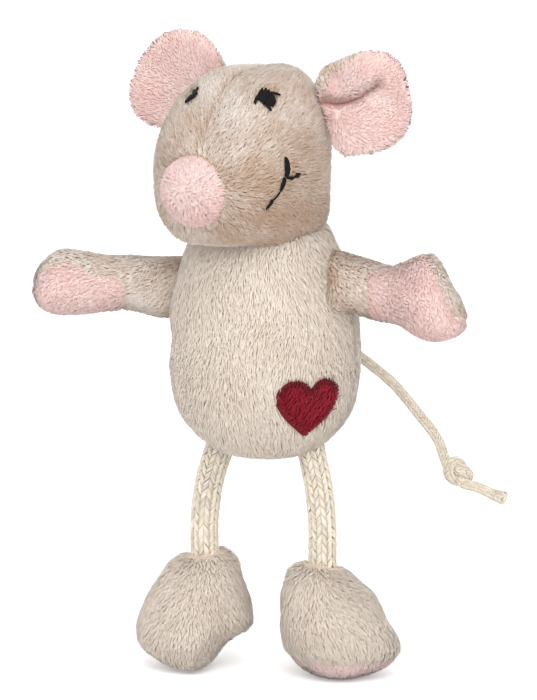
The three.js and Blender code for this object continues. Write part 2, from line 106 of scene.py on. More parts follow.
HEAD_LENGTH = 50
HEAD_BACK = 16
HEAD_HALF_WIDTH = 20.9
HEAD_HALF_HEIGHT = 25.5
HEAD_TURN = 18
HEAD_SHARES = [
    (0, 0, 0, 0.78), (0.02, 0.3, 0.28, 0.78), (0.09, 0.64, 0.67, 0.78), (0.2, 0.85, 0.92, 0.775),
    (0.32, 0.95, 1, 0.785), (0.46, 1, 0.99, 0.79), (0.58, 1, 0.94, 0.805), (0.7, 0.96, 0.82, 0.8),
    (0.8, 0.88, 0.71, 0.725), (0.88, 0.75, 0.56, 0.675), (0.95, 0.52, 0.37, 0.65), (1, 0, 0, 0.64),
]

NOSE_RADIUS = 9.8
NOSE_DEPTH = 6.6
NOSE_REACH = 30.4
NOSE_RISE = 16.6

EYE_SPREAD = 11.8
EYE_REACH = 16.8
EYE_RISE = 38.6

EAR_RADIUS = 13.6
EAR_THICKNESS = 4.4
EAR_BASE = 11.4
EAR_CUP = 2.6
EAR_SPREAD = 19
EAR_BACK = 3
EAR_RISE = 33
EAR_TILT = 24
EAR_TURNS = {"left": 20, "right": -10}

HEART_WIDTH = 18
HEART_HEIGHT = 16.4
HEART_TURN = 47.5
HEART_RISE = 73.6
HEART_LOW = 0.56
HEART_STITCHED = 0.95
HEART_CURVES = [
    (0.35, -0.4, 1, -0.16, 1, 0.15), (1, 0.42, 0.22, 0.56, 0, 0.22), (-0.22, 0.56, -1, 0.42, -1, 0.15),
    (-1, -0.16, -0.35, -0.4, 0, -HEART_LOW),
]

SHOULDERS = {"left": Vector((26.6, 0, 102.2)), "right": Vector((-26.6, 0, 99.8))}
ARM_DROPS = {"left": 2, "right": -2}
ARM_TURNS = {"left": 30, "right": 27}
ARM_REACH = 36
ARM_HALF_DEPTH = 8.6
ARM_HALF_HEIGHT = 9.3
ARM_SHARES = [
    (-0.3, 0, 0, 0), (-0.27, 0.7, 0.68, 0), (-0.14, 0.86, 0.84, 0), (0.2, 0.87, 0.84, 0),
    (0.42, 0.92, 0.9, 0), (0.64, 1, 1, 0), (0.8, 0.97, 0.98, 0), (0.92, 0.74, 0.75, 0), (0.98, 0.4, 0.4, 0),
    (1, 0, 0, 0),
]
PALM_START = 11.5
PALM_TILT = 60
# Outlines of the palms' pink cloth as the camera sees them.
PALMS = {
    "left": [
        (26.2, 78), (26.2, 101.8), (29.5, 102.2), (32.6, 102.0), (35.3, 104.0), (38.0, 105.9),
        (40.2, 106.6), (42.4, 103.2), (44.0, 99.4), (45.8, 95.5), (48.4, 90.1), (49.2, 78),
    ],
    "right": [
        (-59.3, 88.2), (-59.2, 97.8), (-58.1, 101.4), (-55.5, 103.6), (-50.2, 104.5), (-46.7, 103.2),
        (-44.5, 101.0), (-36.1, 100.1), (-35.7, 99.4), (-35.7, 80), (-59.3, 80),
    ],
}
# Where the beige cloth of the ears' backs comes round to the front, as the camera sees it.
EAR_WRAPS = {
    "left": [
        (9.1, 147.8), (15.7, 147.6), (17.2, 151.2), (21.0, 154.8), (25.3, 157.2), (29.0, 159.4),
        (29.0, 165), (9.1, 165),
    ],
    "right": [(-15.3, 163.8), (-13.7, 160.6), (-12.5, 156.8), (-12, 152.9), (-7, 152.9), (-7, 165)],
}
# The fold in each ear's lining, as the camera sees it.
EAR_CREASES = {
    "left": [(15.5, 145.4), (18.3, 144.9), (21.0, 145.2), (23.8, 146.4), (26.4, 148.1), (28.6, 149.6)],
    "right": [(-22.0, 146.0), (-24.0, 147.5)],
}
# How far the middle of an ear's disc is from its base.
EAR_MIDDLE = 9.2
CREASE_DEPTHS = {"left": 3.3, "right": 0.3}
SOLE_LINES = {"left": 6.2, "right": 1.4}

HIPS = {"left": Vector((12.5, 0, 57.4)), "right": Vector((-12.5, 0, 57.4))}
ANKLES = {"left": Vector((15.4, 0, 29.8)), "right": Vector((-16.6, 0, 29.8))}
FOOT_TURNS = {"left": 50, "right": 10}
FOOT_HEIGHT = 30
FOOT_FLAT = 0.5
FOOT_HALF_WIDTH = 14.4
FOOT_HALF_LENGTH = 15.6
FOOT_SHARES = [
    (0, 0, 0, 0.45), (0.022, 0.52, 0.52, 0.45), (0.09, 0.73, 0.74, 0.45), (0.2, 0.9, 0.9, 0.43),
    (0.32, 0.98, 0.99, 0.4), (0.46, 1, 1, 0.34), (0.63, 0.91, 0.89, 0.25), (0.79, 0.74, 0.71, 0.15),
    (0.92, 0.56, 0.53, 0.05), (0.985, 0.3, 0.28, 0.01), (1, 0, 0, 0),
]

# The tail's line is measured from its exit in the back seam.
TAIL_DIAMETER = 2.3
TAIL_EXIT = Vector((0, 22.5, 83))
TAIL_STRETCH = [
    (0, 0, 0), (1.5, 3.7, 0.1), (6, 7, -1.1), (11.6, 9, -4), (17.9, 9.6, -8.2), (24.9, 9.4, -13.4),
    (31.5, 8.4, -20.1), (37.4, 7.2, -26.6),
]
KNOT_PLACE = (43.2, 6, -34.6)
TAIL_END = [(48.8, 5.9, -38.3), (52.2, 6, -39.6), (56.2, 6.2, -40.9)]
KNOT_SIZE = 2.05
KNOT_TURN = 165
# How far along the cord the middle of the knot is, in metres.
KNOT_RUN = 0.0705
KNOT_HALF = [
    (1.02, 0.23, -0.29), (0.82, 0.7, -0.82), (0.18, 1.16, -0.97), (-0.51, 1.24, -0.64), (-0.87, 0.92, -0.1),
    (-0.8, 0.38, 0.41), (-0.27, -0.19, 0.49), (0.14, -0.69, 0.06), (0.42, -1.36, 0),
]


# Pulls that give each form the lumps of its stuffing: a place, a reach and a move as the camera
# sees them, right and up from the middle of the floor, and towards it.
PULLS = {
    "body": [
        (18.4, 110.2, 10, -1.2, 0), (-24.4, 92, 12, -0.5, 0), (20.5, 98.6, 10, 0, 0, -1.5),
        (-24.1, 85.7, 7, 0.8, 0), (-17.0, 62.5, 8, 0.2, 0.2), (19.0, 64.0, 8, -0.2, 0.1),
    ],
    "head": [
        (-24.1, 110.8, 14, -0.9, -0.8), (-21.2, 108.6, 7, -0.6, -0.4), (17.3, 128.4, 12, -0.5, 0),
        (15.8, 115.4, 8, 1.0, -0.5), (-3.4, 156.3, 8, 0, -0.8), (10.4, 153.7, 10, 0.2, 0.9),
    ],
    "left_ear": [
        (14.8, 152.7, 9, -0.3, 0.4), (19.0, 157.5, 7, 0, -1.1), (28.0, 159.5, 8, 0, 0.5),
        (36.5, 139.0, 9, 0.3, -0.5), (33.9, 156.3, 9, 1.3, 1.3), (22.5, 133.0, 12, -0.2, -0.6),
        (18.4, 134.6, 7, -1.0, -1.6), (24.5, 152.6, 8, 0, 0, 2.2), (25.5, 139.5, 10, 0, 0, 1.0),
    ],
    "right_ear": [
        (-31.6, 158.9, 12, 1.3, -1.0), (-32.1, 143.9, 12, -1.8, -1.6), (-14.8, 162.5, 8, 0.4, 0.4),
    ],
    "left_arm": [
        (19, 98.6, 13, -1.4, 0, 5.0), (21.5, 105.9, 7, -0.8, 0.4), (41.6, 104.6, 10, 0.4, 5.2),
        (50.5, 98.6, 10, -1.3, -0.2), (46.5, 84.5, 8, 0.5, 0.3), (18.2, 95.5, 6, -1.4, -3.0),
        (18.5, 104.8, 6, -1.6, 1.6), (27.0, 88.6, 8, 0, -0.9), (51.0, 87.5, 8, 1.4, -0.8),
        (37.5, 86.2, 10, -0.1, 0.7), (42.0, 86.0, 9, 0, -1.4),
    ],
    "right_arm": [
        (-59.3, 104.6, 9, 0.6, -0.9), (-25.9, 90.6, 10, 0.5, -2.0), (-24.5, 106.0, 11, 0, -0.5),
        (-57.5, 93.5, 7, -0.2, -0.3), (-30.0, 90.0, 9, 0, -0.4), (-42.0, 107.0, 10, 0, -0.6),
    ],
    "left_foot": [
        (22.0, 25.4, 9, -0.8, -1.2), (9.1, 0.3, 11, 0.3, 0.6), (32.9, 3.6, 10, 3.7, -0.6),
        (4.0, 12.0, 8, 0.7, 0), (5.4, 22.5, 8, -0.7, 0.3),
    ],
    "right_foot": [
        (-8.0, 28.5, 9, 0.8, 0.8), (-5.5, 9.5, 7, 0.9, -0.5), (-13.0, 31.5, 6, 0, 1.2),
        (-4.1, 17.1, 10, 0.8, 0), (-8.5, 3.6, 11, -2.2, 2.8), (-27.2, 1.0, 8, 0.8, 0.8),
        (-33.4, 8.0, 9, -0.5, 0),
    ],
}


# ---------------------------------------------------------------- settings


def colour_property(name, description, default):
    return bpy.props.FloatVectorProperty(
        name=name, description=description, default=default, size=3, min=0.0, max=1.0, subtype="COLOR"
    )


def length_property(name, description, default):
    return bpy.props.FloatProperty(
        name=name, description=description, default=default, min=0.0, subtype="DISTANCE", unit="LENGTH"
    )


def amount_property(name, description, default, least=0.0):
    return bpy.props.FloatProperty(name=name, description=description, default=default, min=least)


def angle_property(name, description, degrees):
    default = math.radians(degrees)
    return bpy.props.FloatProperty(name=name, description=description, default=default, subtype="ANGLE")


class PlushSizes(bpy.types.PropertyGroup):
    """How long and how close the pile of each cloth stands."""

    body_pile: length_property("Body pile", "Length of the pile on the body and feet", 0.0034)
    head_pile: length_property("Head pile", "Length of the pile on the head and arms", 0.0027)
    short_pile: length_property("Short pile", "Length of the pile on the pink cloth", 0.0017)
    tuft_width: length_property("Tuft width", "Width of one tuft of the long pile", 0.00036)
    closeness: amount_property("Closeness", "Tufts on a square millimetre of the body", 4.7, 0.5)


class PlushColours(bpy.types.PropertyGroup):
    """Colours of the cloths, cords and threads."""

    cream: colour_property("Cream plush", "Tips of the body's pile", (0.81, 0.72, 0.625))
    # The root colours are partly the fibres' own darker roots and partly painted shade deep in the pile.
    cream_root: colour_property("Cream root", "Roots of the body's pile", (0.64, 0.53, 0.43))
    beige: colour_property("Beige plush", "Tips of the head's and arms' pile", (0.80, 0.72, 0.65))
    beige_root: colour_property("Beige root", "Roots of the head's and arms' pile", (0.49, 0.34, 0.24))
    pink: colour_property("Pink plush", "Tips of the pink pile", (0.90, 0.70, 0.66))
    pink_root: colour_property("Pink root", "Roots of the pink pile", (0.74, 0.45, 0.41))
    cord: colour_property("Cotton cord", "Braided cotton of the legs and tail", (0.81, 0.735, 0.62))
    heart: colour_property("Heart thread", "Thread of the heart", (0.205, 0.002, 0.012))
    line: colour_property("Face thread", "Thread of the eyes and mouths", (0.004, 0.004, 0.004))


class CordSizes(bpy.types.PropertyGroup):
    """Sizes of the braided cords."""

    leg_width: length_property("Leg cord width", "Width of the flat oval leg cord", 0.0071)
    leg_thickness: length_property("Leg cord thickness", "Thickness of the leg cord", 0.006)
    tail_width: length_property("Tail cord", "Diameter of the tail cord", TAIL_DIAMETER * MM)


class StageSettings(bpy.types.PropertyGroup):
    """Camera and lamps."""

    azimuth: angle_property("Azimuth", "Turn of the camera round the toy", 18)
    elevation: angle_property("Elevation", "Height angle of the camera", 12)
    distance: length_property("Distance", "From the camera to the toy", 5.0)
    frame_height: length_property("Frame height", "Height that the picture covers at the toy", 0.1812)
    key: amount_property("Key lamp", "Power of the key lamp in watts", 4.6)
    sky: amount_property("Sky", "Strength of the plain world light", 0.95)


def settings(name):
    return getattr(bpy.context.scene, "mouse_" + name)


# ---------------------------------------------------------------- lines and forms


def smooth_line(points, steps=24):
    """A smooth curve through the points, as many close points."""
    p = [np.array(q, float) for q in points]
    p = [2 * p[0] - p[1], *p, 2 * p[-1] - p[-2]]
    out = []
    for a, b, c, d in zip(p, p[1:], p[2:], p[3:]):
        gaps = [max(float(np.sum((v - u) ** 2)) ** 0.25, 1e-4) for u, v in ((a, b), (b, c), (c, d))]
        start = (b - a) / gaps[0] - (c - a) / (gaps[0] + gaps[1]) + (c - b) / gaps[1]
        end = (c - b) / gaps[1] - (d - b) / (gaps[1] + gaps[2]) + (d - c) / gaps[2]
        start, end = start * gaps[1], end * gaps[1]
        for t in np.arange(steps) / steps:
            out.append(
                (2 * t**3 - 3 * t**2 + 1) * b
                + (t**3 - 2 * t**2 + t) * start
                + (-2 * t**3 + 3 * t**2) * c
                + (t**3 - t**2) * end
            )
    out.append(p[-2])
    return np.array(out)


def even_points(line, count):
    """The line again, as points at equal distances along it."""
    run = np.concatenate([[0], np.cumsum(np.linalg.norm(np.diff(line, axis=0), axis=1))])
    want = np.linspace(0, run[-1], count)
    return np.stack([np.interp(want, run, line[:, k]) for k in range(line.shape[1])], 1)


def unit(v):
    return v / np.maximum(np.linalg.norm(v, axis=-1, keepdims=True), 1e-12)


def ripple(points, size, seed):
    """A smooth wandering value from -1 to 1 over space, with lumps of about this size in metres."""
    rng = np.random.default_rng(seed)
    total = np.zeros(len(points))
    for _ in range(7):
        way = unit(rng.normal(size=3)) * (2 * math.pi / size) * rng.uniform(0.6, 1.5)
        total += np.sin(points @ way + rng.uniform(0, 2 * math.pi))
    return np.clip(total / 3.2, -1, 1)


def apart(values, width):
    """1 on a line and 0 well away from it."""
    return np.exp(-((values / width) ** 2))


def form_profile(shares, length, half_width, half_height, rings, inset):
    """Rings of a stuffed form: place, half width, half height and rise in millimetres."""
    rows = np.array(shares, float)
    line = smooth_line(rows * (length, half_width, half_height, half_height))
    line = even_points(line, rings + 1)
    slope = np.gradient(line, axis=0)
    climb = (slope[:, 1] + slope[:, 2]) / 2
    slant = np.hypot(slope[:, 0], climb)
    line[:, 0] += inset * climb / slant
    line[:, 1:3] = np.maximum(line[:, 1:3] - inset * (slope[:, 0] / slant)[:, None], 0.05)
    line[0, 1:3] = line[-1, 1:3] = 0
    line[0, 0] = line[1, 0] if line[0, 0] > line[1, 0] else line[0, 0]
    return line


def new_object(name, mesh):
    ob = bpy.data.objects.new(name, mesh)
    bpy.context.collection.objects.link(ob)
    return ob


def only(ob):
    """Makes one object the selected and active one."""
    bpy.ops.object.select_all(action="DESELECT")
    ob.select_set(True)
    bpy.context.view_layer.objects.active = ob


def points_of(mesh):
    co = np.empty(len(mesh.vertices) * 3)
    mesh.vertices.foreach_get("co", co)
    return co.reshape(-1, 3)


def normals_of(mesh):
    normals = np.empty(len(mesh.vertices) * 3)
    mesh.vertices.foreach_get("normal", normals)
    return normals.reshape(-1, 3)


def put_points(mesh, co):
    mesh.vertices.foreach_set("co", np.asarray(co, float).ravel())
    mesh.update()


def close_seams(ob):
    """Merges doubles and turns all faces outwards."""
    only(ob)
    bpy.ops.object.mode_set(mode="EDIT")
    bpy.ops.mesh.select_all(action="SELECT")
    bpy.ops.mesh.remove_doubles(threshold=0.00001)
    bpy.ops.mesh.normals_make_consistent(inside=False)
    bpy.ops.object.mode_set(mode="OBJECT")


def new_ball(name, segments, rings):
    """A ball of radius 1, to be drawn out into a form."""
    bpy.ops.object.select_all(action="DESELECT")
    bpy.ops.mesh.primitive_uv_sphere_add(segments=segments, ring_count=rings, radius=1)
    ob = bpy.context.active_object
    ob.name = ob.data.name = name
    return ob


def stuffed_form(name, shares, sizes, axes, origin, inset, segments, rings, square=2.0):
    """A ball drawn out into a stuffed form. sizes are its length, half width and half height, and
    axes are its along, across and up directions."""
    ob = new_ball(name, segments, rings)
    ball = points_of(ob.data)
    ring = np.rint(np.arccos(np.clip(ball[:, 2], -1, 1)) / math.pi * rings).astype(int)
    angle = np.arctan2(ball[:, 1], ball[:, 0])
    line = form_profile(shares, *sizes, rings, inset)[ring]
    c, s = (np.sign(v) * np.abs(v) ** (2 / square) for v in (np.cos(angle), np.sin(angle)))
    along, across, up = (np.array(a, float) for a in axes)
    co = (
        np.array(origin, float)
        + line[:, :1] * along
        + (line[:, 1] * c)[:, None] * across
        + (line[:, 3] + line[:, 2] * s)[:, None] * up
    )
    put_points(ob.data, co * MM)
    close_seams(ob)
    return ob


def swell(ob, sewn, cap):
    """Fills a cover with wadding: the cloth swells by up to cap millimetres and its sewn points stay put."""
    start = points_of(ob.data)
    group = ob.vertex_groups.new(name="sewn")
    group.add([int(k) for k in np.flatnonzero(sewn)], 1.0, "REPLACE")
    cloth = ob.modifiers.new("wadding", "CLOTH")
    for key, value in WADDING.items():
        setattr(cloth.settings, key, value)
    cloth.settings.effector_weights.gravity = 0
    cloth.point_cache.frame_start = 1
    cloth.point_cache.frame_end = WADDING_FRAMES
    for number in range(1, WADDING_FRAMES + 1):
        bpy.context.scene.frame_set(number)
    only(ob)
    bpy.ops.object.modifier_apply(modifier=cloth.name)
    bpy.context.scene.frame_set(1)
    ob.vertex_groups.clear()
    move = points_of(ob.data) - start
    if not np.isfinite(move).all():
        raise RuntimeError(f"the wadding of {ob.name} blew up")
    size = np.linalg.norm(move, axis=1, keepdims=True)
    put_points(ob.data, start + move * np.minimum(1, cap * MM / np.maximum(size, 1e-9)))


def finish_skin(ob):
    """Smooths the cloth of a stuffed form."""
    only(ob)
    soft = ob.modifiers.new("smooth", "SUBSURF")
    soft.levels = soft.render_levels = 1
    bpy.ops.object.modifier_apply(modifier=soft.name)
    bpy.ops.object.shade_smooth()


def pull_seam(ob, distance, width, depth):
    """Draws the cloth in along a seam. distance gives each point's distance from the seam in millimetres."""
    pull = depth * MM * apart(distance, width)
    put_points(ob.data, points_of(ob.data) - normals_of(ob.data) * pull[:, None])


# ---------------------------------------------------------------- pile and threads


def mesh_piece(name, points, triangles, values=None, normals=None):
    """A piece from arrays of points and triangles, with named values at each point."""
    mesh = bpy.data.meshes.new(name)
    mesh.vertices.add(len(points))
    mesh.vertices.foreach_set("co", np.asarray(points, np.float32).ravel())
    mesh.loops.add(len(triangles) * 3)
    mesh.loops.foreach_set("vertex_index", np.asarray(triangles, np.int32).ravel())
    mesh.polygons.add(len(triangles))
    mesh.polygons.foreach_set("loop_start", np.arange(len(triangles), dtype=np.int32) * 3)
    mesh.update(calc_edges=True)
    for key, value in (values or {}).items():
        store = mesh.attributes.new(key, "FLOAT", "POINT")
        store.data.foreach_set("value", np.asarray(value, np.float32))
    mesh.polygons.foreach_set("use_smooth", np.ones(len(triangles), bool))
    if normals is not None:
        mesh.normals_split_custom_set_from_vertices(np.asarray(normals, float).tolist())
    return new_object(name, mesh)


def corners_of(ob):
    """Points, triangles, point normals and triangle areas of a skin."""
    mesh = ob.data
    mesh.calc_loop_triangles()
    tri = np.empty(len(mesh.loop_triangles) * 3, np.int32)
    mesh.loop_triangles.foreach_get("vertices", tri)
    tri = tri.reshape(-1, 3)
    co = points_of(mesh)
    sides = np.cross(co[tri[:, 1]] - co[tri[:, 0]], co[tri[:, 2]] - co[tri[:, 0]])
    return co, tri, normals_of(mesh), np.linalg.norm(sides, axis=1) / 2


def strewn(ob, closeness, rng):
    """Points strewn evenly over a skin, this many to a square millimetre, with the skin's normal at each."""
    co, tri, normal, area = corners_of(ob)
    total = np.cumsum(area)
    count = int(total[-1] * 1e6 * closeness)
    want = (np.arange(count) + rng.random(count)) / count * total[-1]
    at = np.minimum(np.searchsorted(total, want), len(tri) - 1)
    u, v = rng.random(count), rng.random(count)
    over = u + v > 1
    u[over], v[over] = 1 - u[over], 1 - v[over]
    share = np.stack([1 - u - v, u, v], 1)[:, :, None]
    return (co[tri[at]] * share).sum(1), unit((normal[tri[at]] * share).sum(1))


@dataclass
class Pile:
    """One kind of pile: its length and width in metres, how it leans and how it gathers into locks."""

    length: float
    width: float
    closeness: float
    upright: float
    droop: float
    gather: float
    locks: float
    mess: float = 0.22
    roundness: float = 0.22


def lying(lay, normals):
    """The direction turned into the skin's own plane."""
    return unit(lay - normals * (lay * normals).sum(1)[:, None])


def strokes(roots, normals, lay, pile, rng):
    """Middle and tip of each tuft."""
    side = np.cross(normals, lay)
    turn = rng.normal(0, pile.mess, len(roots))[:, None]
    lay = unit(lay * np.cos(turn) + side * np.sin(turn))
    long = (pile.length * rng.uniform(0.72, 1.12, len(roots)))[:, None]
    up = (pile.upright * rng.uniform(0.8, 1.2, len(roots)))[:, None]
    middle = roots + unit(normals * up + lay) * long * 0.5
    tip = middle + unit(normals * up * pile.droop + lay) * long * 0.5
    return middle, tip


def grow_pile(name, skin, pile, lay_of, seed, keep=None, tone_of=None, floor=None):
    """Grows pile on a skin and returns it as one piece."""
    rng = np.random.default_rng(seed)
    roots, normals = strewn(skin, pile.closeness * (1.0), rng)
    if keep is not None:
        stays = keep(roots, normals)
        roots, normals = roots[stays], normals[stays]
    middle, tip = strokes(roots, normals, lying(lay_of(roots, normals), normals), pile, rng)
    heads, head_normals = strewn(skin, pile.locks, rng)
    head_lay = lying(lay_of(heads, head_normals), head_normals)
    lock_middle, lock_tip = strokes(heads, head_normals, head_lay, pile, rng)
    tree = kdtree.KDTree(len(heads))
    for number, point in enumerate(heads.tolist()):
        tree.insert(point, number)
    tree.balance()
    near = np.array([tree.find(point)[1] for point in roots.tolist()])
    pull = (pile.gather * rng.uniform(0.5, 1.3, len(roots)))[:, None]
    middle += (lock_middle[near] - middle) * pull * 0.45
    tip += (lock_tip[near] - tip) * pull
    lock_tone = rng.normal(0, 1, len(heads))[near]
    tone = 0.5 + 0.1 * rng.normal(0, 1, len(roots)) + 0.1 * lock_tone
    if tone_of is not None:
        tone = tone + tone_of(roots)
    roots = roots - normals * 0.0002
    way = unit(tip - roots)
    side = unit(np.cross(normals, way) + 1e-9)
    flat = np.cross(way, side)
    spin = rng.uniform(-0.6, 0.6, len(roots))
    rings = []
    out = []
    for centre, size in ((roots, 1.0), (middle, 0.8)):
        for corner in range(3):
            angle = spin + 2 * math.pi * corner / 3
            ray = np.cos(angle)[:, None] * side * 0.5 + np.sin(angle)[:, None] * flat * 0.34
            rings.append(centre + ray * pile.width * size)
            out.append(unit(normals * 0.9 + way * 0.1 + unit(ray) * pile.roundness))
    rings.append(tip)
    out.append(unit(normals * 0.9 + way * 0.2))
    points = np.stack(rings, 1).reshape(-1, 3)
    shade = np.stack(out, 1).reshape(-1, 3)
    if floor is not None:
        points[:, 2] = np.maximum(points[:, 2], floor)
    pattern = [(0, 2, 1)]
    for k in range(3):
        j = (k + 1) % 3
        pattern += [(k, j, 3 + j), (k, 3 + j, 3 + k), (3 + k, 3 + j, 6)]
    count = len(roots)
    triangles = (np.array(pattern)[None] + 7 * np.arange(count)[:, None, None]).reshape(-1, 3)
    along = np.tile([0, 0, 0, 0.55, 0.55, 0.55, 1.0], count)
    values = {"along": along, "tone": np.repeat(np.clip(tone, 0, 1), 7)}
    return mesh_piece(name, points, triangles, values, normals=shade)


def add_pile(name, skin, cloth, body, pile, lay_of, seed, keep, tone_of=None, floor=None):
    """Grows the pile of a cloth on a skin. The piece rides the body, where one is named."""
    piece = grow_pile(name, skin, pile, lay_of, seed, keep, tone_of, floor)
    wear(piece, plush(cloth))
    if body is not None:
        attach(piece, body)
    return piece


def thread_arrays(paths, ups, radius, sides=5):
    """Closed threads along many short paths of as many points each. ups are the outward directions."""
    count, steps, _ = paths.shape
    way = unit(np.gradient(paths, axis=1))
    side = unit(np.cross(way, ups))
    high = np.cross(side, way)
    taper = np.clip(np.sin(np.linspace(0, math.pi, steps)) * 1.6 + 0.35, 0, 1)
    angle = 2 * math.pi * np.arange(sides) / sides
    thick = np.broadcast_to(np.asarray(radius, float).reshape(-1, 1), (count, steps)) * taper
    cos, sin = np.cos(angle)[None, None, :, None], np.sin(angle)[None, None, :, None]
    ring = paths[:, :, None] + (side[:, :, None] * cos + high[:, :, None] * sin) * thick[:, :, None, None]
    first = paths[:, 0] - way[:, 0] * thick[:, :1] * 0.5
    last = paths[:, -1] + way[:, -1] * thick[:, -1:] * 0.5
    points = np.concatenate([ring.reshape(count, -1, 3), first[:, None], last[:, None]], 1)
    pattern = []
    a, b = steps * sides, steps * sides + 1
    for k in range(sides):
        j = (k + 1) % sides
        pattern.append((a, j, k))
        pattern.append((b, (steps - 1) * sides + k, (steps - 1) * sides + j))
        for s in range(steps - 1):
            low, top = s * sides, (s + 1) * sides
            pattern += [(low + k, low + j, top + j), (low + k, top + j, top + k)]
    triangles = np.array(pattern)[None] + points.shape[1] * np.arange(count)[:, None, None]
    return points.reshape(-1, 3), triangles.reshape(-1, 3), points.shape[1]


def carried_frames(line):
    """Side directions carried along a line without twist."""
    way = unit(np.gradient(line, axis=0))
    side = np.zeros_like(way)
    start = np.cross(way[0], (0, 1, 0))
    side[0] = unit(start if np.linalg.norm(start) > 0.1 else np.cross(way[0], (0, 0, 1)))
    for k in range(1, len(line)):
        step = side[k - 1] - way[k] * (side[k - 1] @ way[k])
        side[k] = unit(step)
    return side, np.cross(way, side)


@dataclass
class Braid:
    """How a cord is braided: half sizes in metres, rows of slanting yarns, their size and how they dive."""

    half_side: float
    half_front: float
    columns: int
    pitch: float
    slant: float
    threads: int
    radius: float
    sink: float
    rise: float
    girth: object = None


def braid_arrays(line, braid, seed):
    """Core and yarns of a braided cord along a line of close points, in metres."""
    rng = np.random.default_rng(seed)
    run = np.concatenate([[0], np.cumsum(np.linalg.norm(np.diff(line, axis=0), axis=1))])
    side, front = carried_frames(line)
    girth = np.ones(len(line)) if braid.girth is None else braid.girth(run)
    turn = np.linspace(0, 2 * math.pi, 181)
    arc = np.cumsum(np.hypot(braid.half_side * np.sin(turn), braid.half_front * np.cos(turn))[1:])
    share_round = np.concatenate([[0], arc]) / arc[-1]

    def at(distance, angle, lift):
        """Places at a distance along the cord and an angle round it, lifted off its surface."""
        distance = np.clip(distance, 0, run[-1])
        pick = lambda table: np.stack([np.interp(distance, run, table[:, k]) for k in range(3)], -1)
        angle = np.interp(angle / (2 * math.pi) % 1, share_round, turn)
        aside, ahead = pick(side) * np.cos(angle)[..., None], pick(front) * np.sin(angle)[..., None]
        lift = lift[..., None]
        thick = np.interp(distance, run, girth)[..., None]
        ray = aside * (braid.half_side * thick + lift) + ahead * (braid.half_front * thick + lift)
        return pick(line) + ray, unit(aside / braid.half_side + ahead / braid.half_front)

    rows = int(run[-1] / braid.pitch)
    steps = 5
    share = np.linspace(-0.5, 0.5, steps)
    paths, ups, tones = [], [], []
    for column in range(braid.columns):
        lean = 1 if column % 2 else -1
        for row in range(rows + 1):
            middle = (row + 0.5 * (column // 2 % 2)) * braid.pitch
            shade = rng.normal(0.5, 0.14)
            for strand in range(braid.threads):
                place_in_bundle = (strand - (braid.threads - 1) / 2) / braid.threads
                shift = place_in_bundle * braid.pitch * 0.88
                angle = (column + 0.5 + share * 1.34) * 2 * math.pi / braid.columns
                distance = middle + shift + lean * share * braid.slant + rng.normal(0, 0.03) * braid.pitch
                if distance.min() < 0 or distance.max() > run[-1]:
                    continue
                lift = braid.rise * np.cos((share - 0.14) * math.pi) - braid.sink * np.abs(2 * share) ** 4
                lift = lift - braid.radius * (0.9 + 3.2 * place_in_bundle**2)
                lift = lift + rng.normal(0, 0.06) * braid.radius
                place, up = at(distance, angle, lift)
                paths.append(place)
                ups.append(up)
                tones.append(shade + rng.normal(0, 0.08))
    paths, ups = np.array(paths), np.array(ups)
    points, triangles, each = thread_arrays(paths, ups, braid.radius, sides=4)
    tone = np.repeat(np.clip(tones, 0, 1), each)
    sides = 16
    rings = np.linspace(0, run[-1], max(int(run[-1] / (braid.pitch * 0.5)), 12))
    angle = np.arange(sides) * 2 * math.pi / sides
    depth = np.full(len(rings) * sides, -braid.sink - braid.radius)
    core, _ = at(np.repeat(rings, sides), np.tile(angle, len(rings)), depth)
    core = np.concatenate([core, line[:1], line[-1:]])
    faces = []
    for r in range(len(rings) - 1):
        for k in range(sides):
            a, b = r * sides + k, r * sides + (k + 1) % sides
            faces += [(a, b, b + sides), (a, b + sides, a + sides)]
    last = (len(rings) - 1) * sides
    for k in range(sides):
        j = (k + 1) % sides
        faces += [(len(core) - 2, j, k), (len(core) - 1, last + k, last + j)]
    triangles = np.concatenate([triangles, np.array(faces) + len(points)])
    points = np.concatenate([points, core])
    # The sunk core is dark as painted shade in the gaps between the yarns, and lighter at its ends.
    shade = np.full(len(core), -0.6)
    shade[last:] = 0.4
    tone = np.concatenate([tone, shade])
    return points, triangles, tone


# ---------------------------------------------------------------- materials


def feed(tree, node, sockets):
    """Sets inputs of a node, each to a value or to the output that feeds it."""
    for key, value in sockets.items():
        if isinstance(value, bpy.types.NodeSocket):
            tree.links.new(value, node.inputs[key])
        else:
            node.inputs[key].default_value = value


def add_node(tree, kind, place, sockets=None, **values):
    node = tree.nodes.new(kind if kind.startswith("NodeGroup") else "ShaderNode" + kind)
    node.location = place
    for key, value in values.items():
        setattr(node, key, value)
    feed(tree, node, sockets or {})
    return node


def mixed_colour(tree, place, share, low, high):
    """Output of a node that mixes two colours."""
    return add_node(tree, "Mix", place, {0: share, 6: low, 7: high}, data_type="RGBA").outputs[2]


def new_group(name, inputs, outputs):
    """An empty node group, its given outputs and the node that takes its results."""
    group = bpy.data.node_groups.new(name, "ShaderNodeTree")
    for way, sockets in (("INPUT", inputs), ("OUTPUT", outputs)):
        for key, kind in sockets.items():
            group.interface.new_socket(name=key, in_out=way, socket_type="NodeSocket" + kind)
    given = add_node(group, "NodeGroupInput", (-900, 0)).outputs
    return group, given, add_node(group, "NodeGroupOutput", (700, 0))


def noise_of(group, detail, scale):
    place = add_node(group, "TexCoord", (-900, -600)).outputs["Object"]
    sockets = {"Detail": detail, "Vector": place, "Scale": scale}
    return add_node(group, "TexNoise", (-700, -600), sockets).outputs["Fac"]


def value_of(group, name, place):
    """Output that reads one of the values that the pile and the threads carry."""
    return add_node(group, "Attribute", place, attribute_name=name).outputs["Fac"]


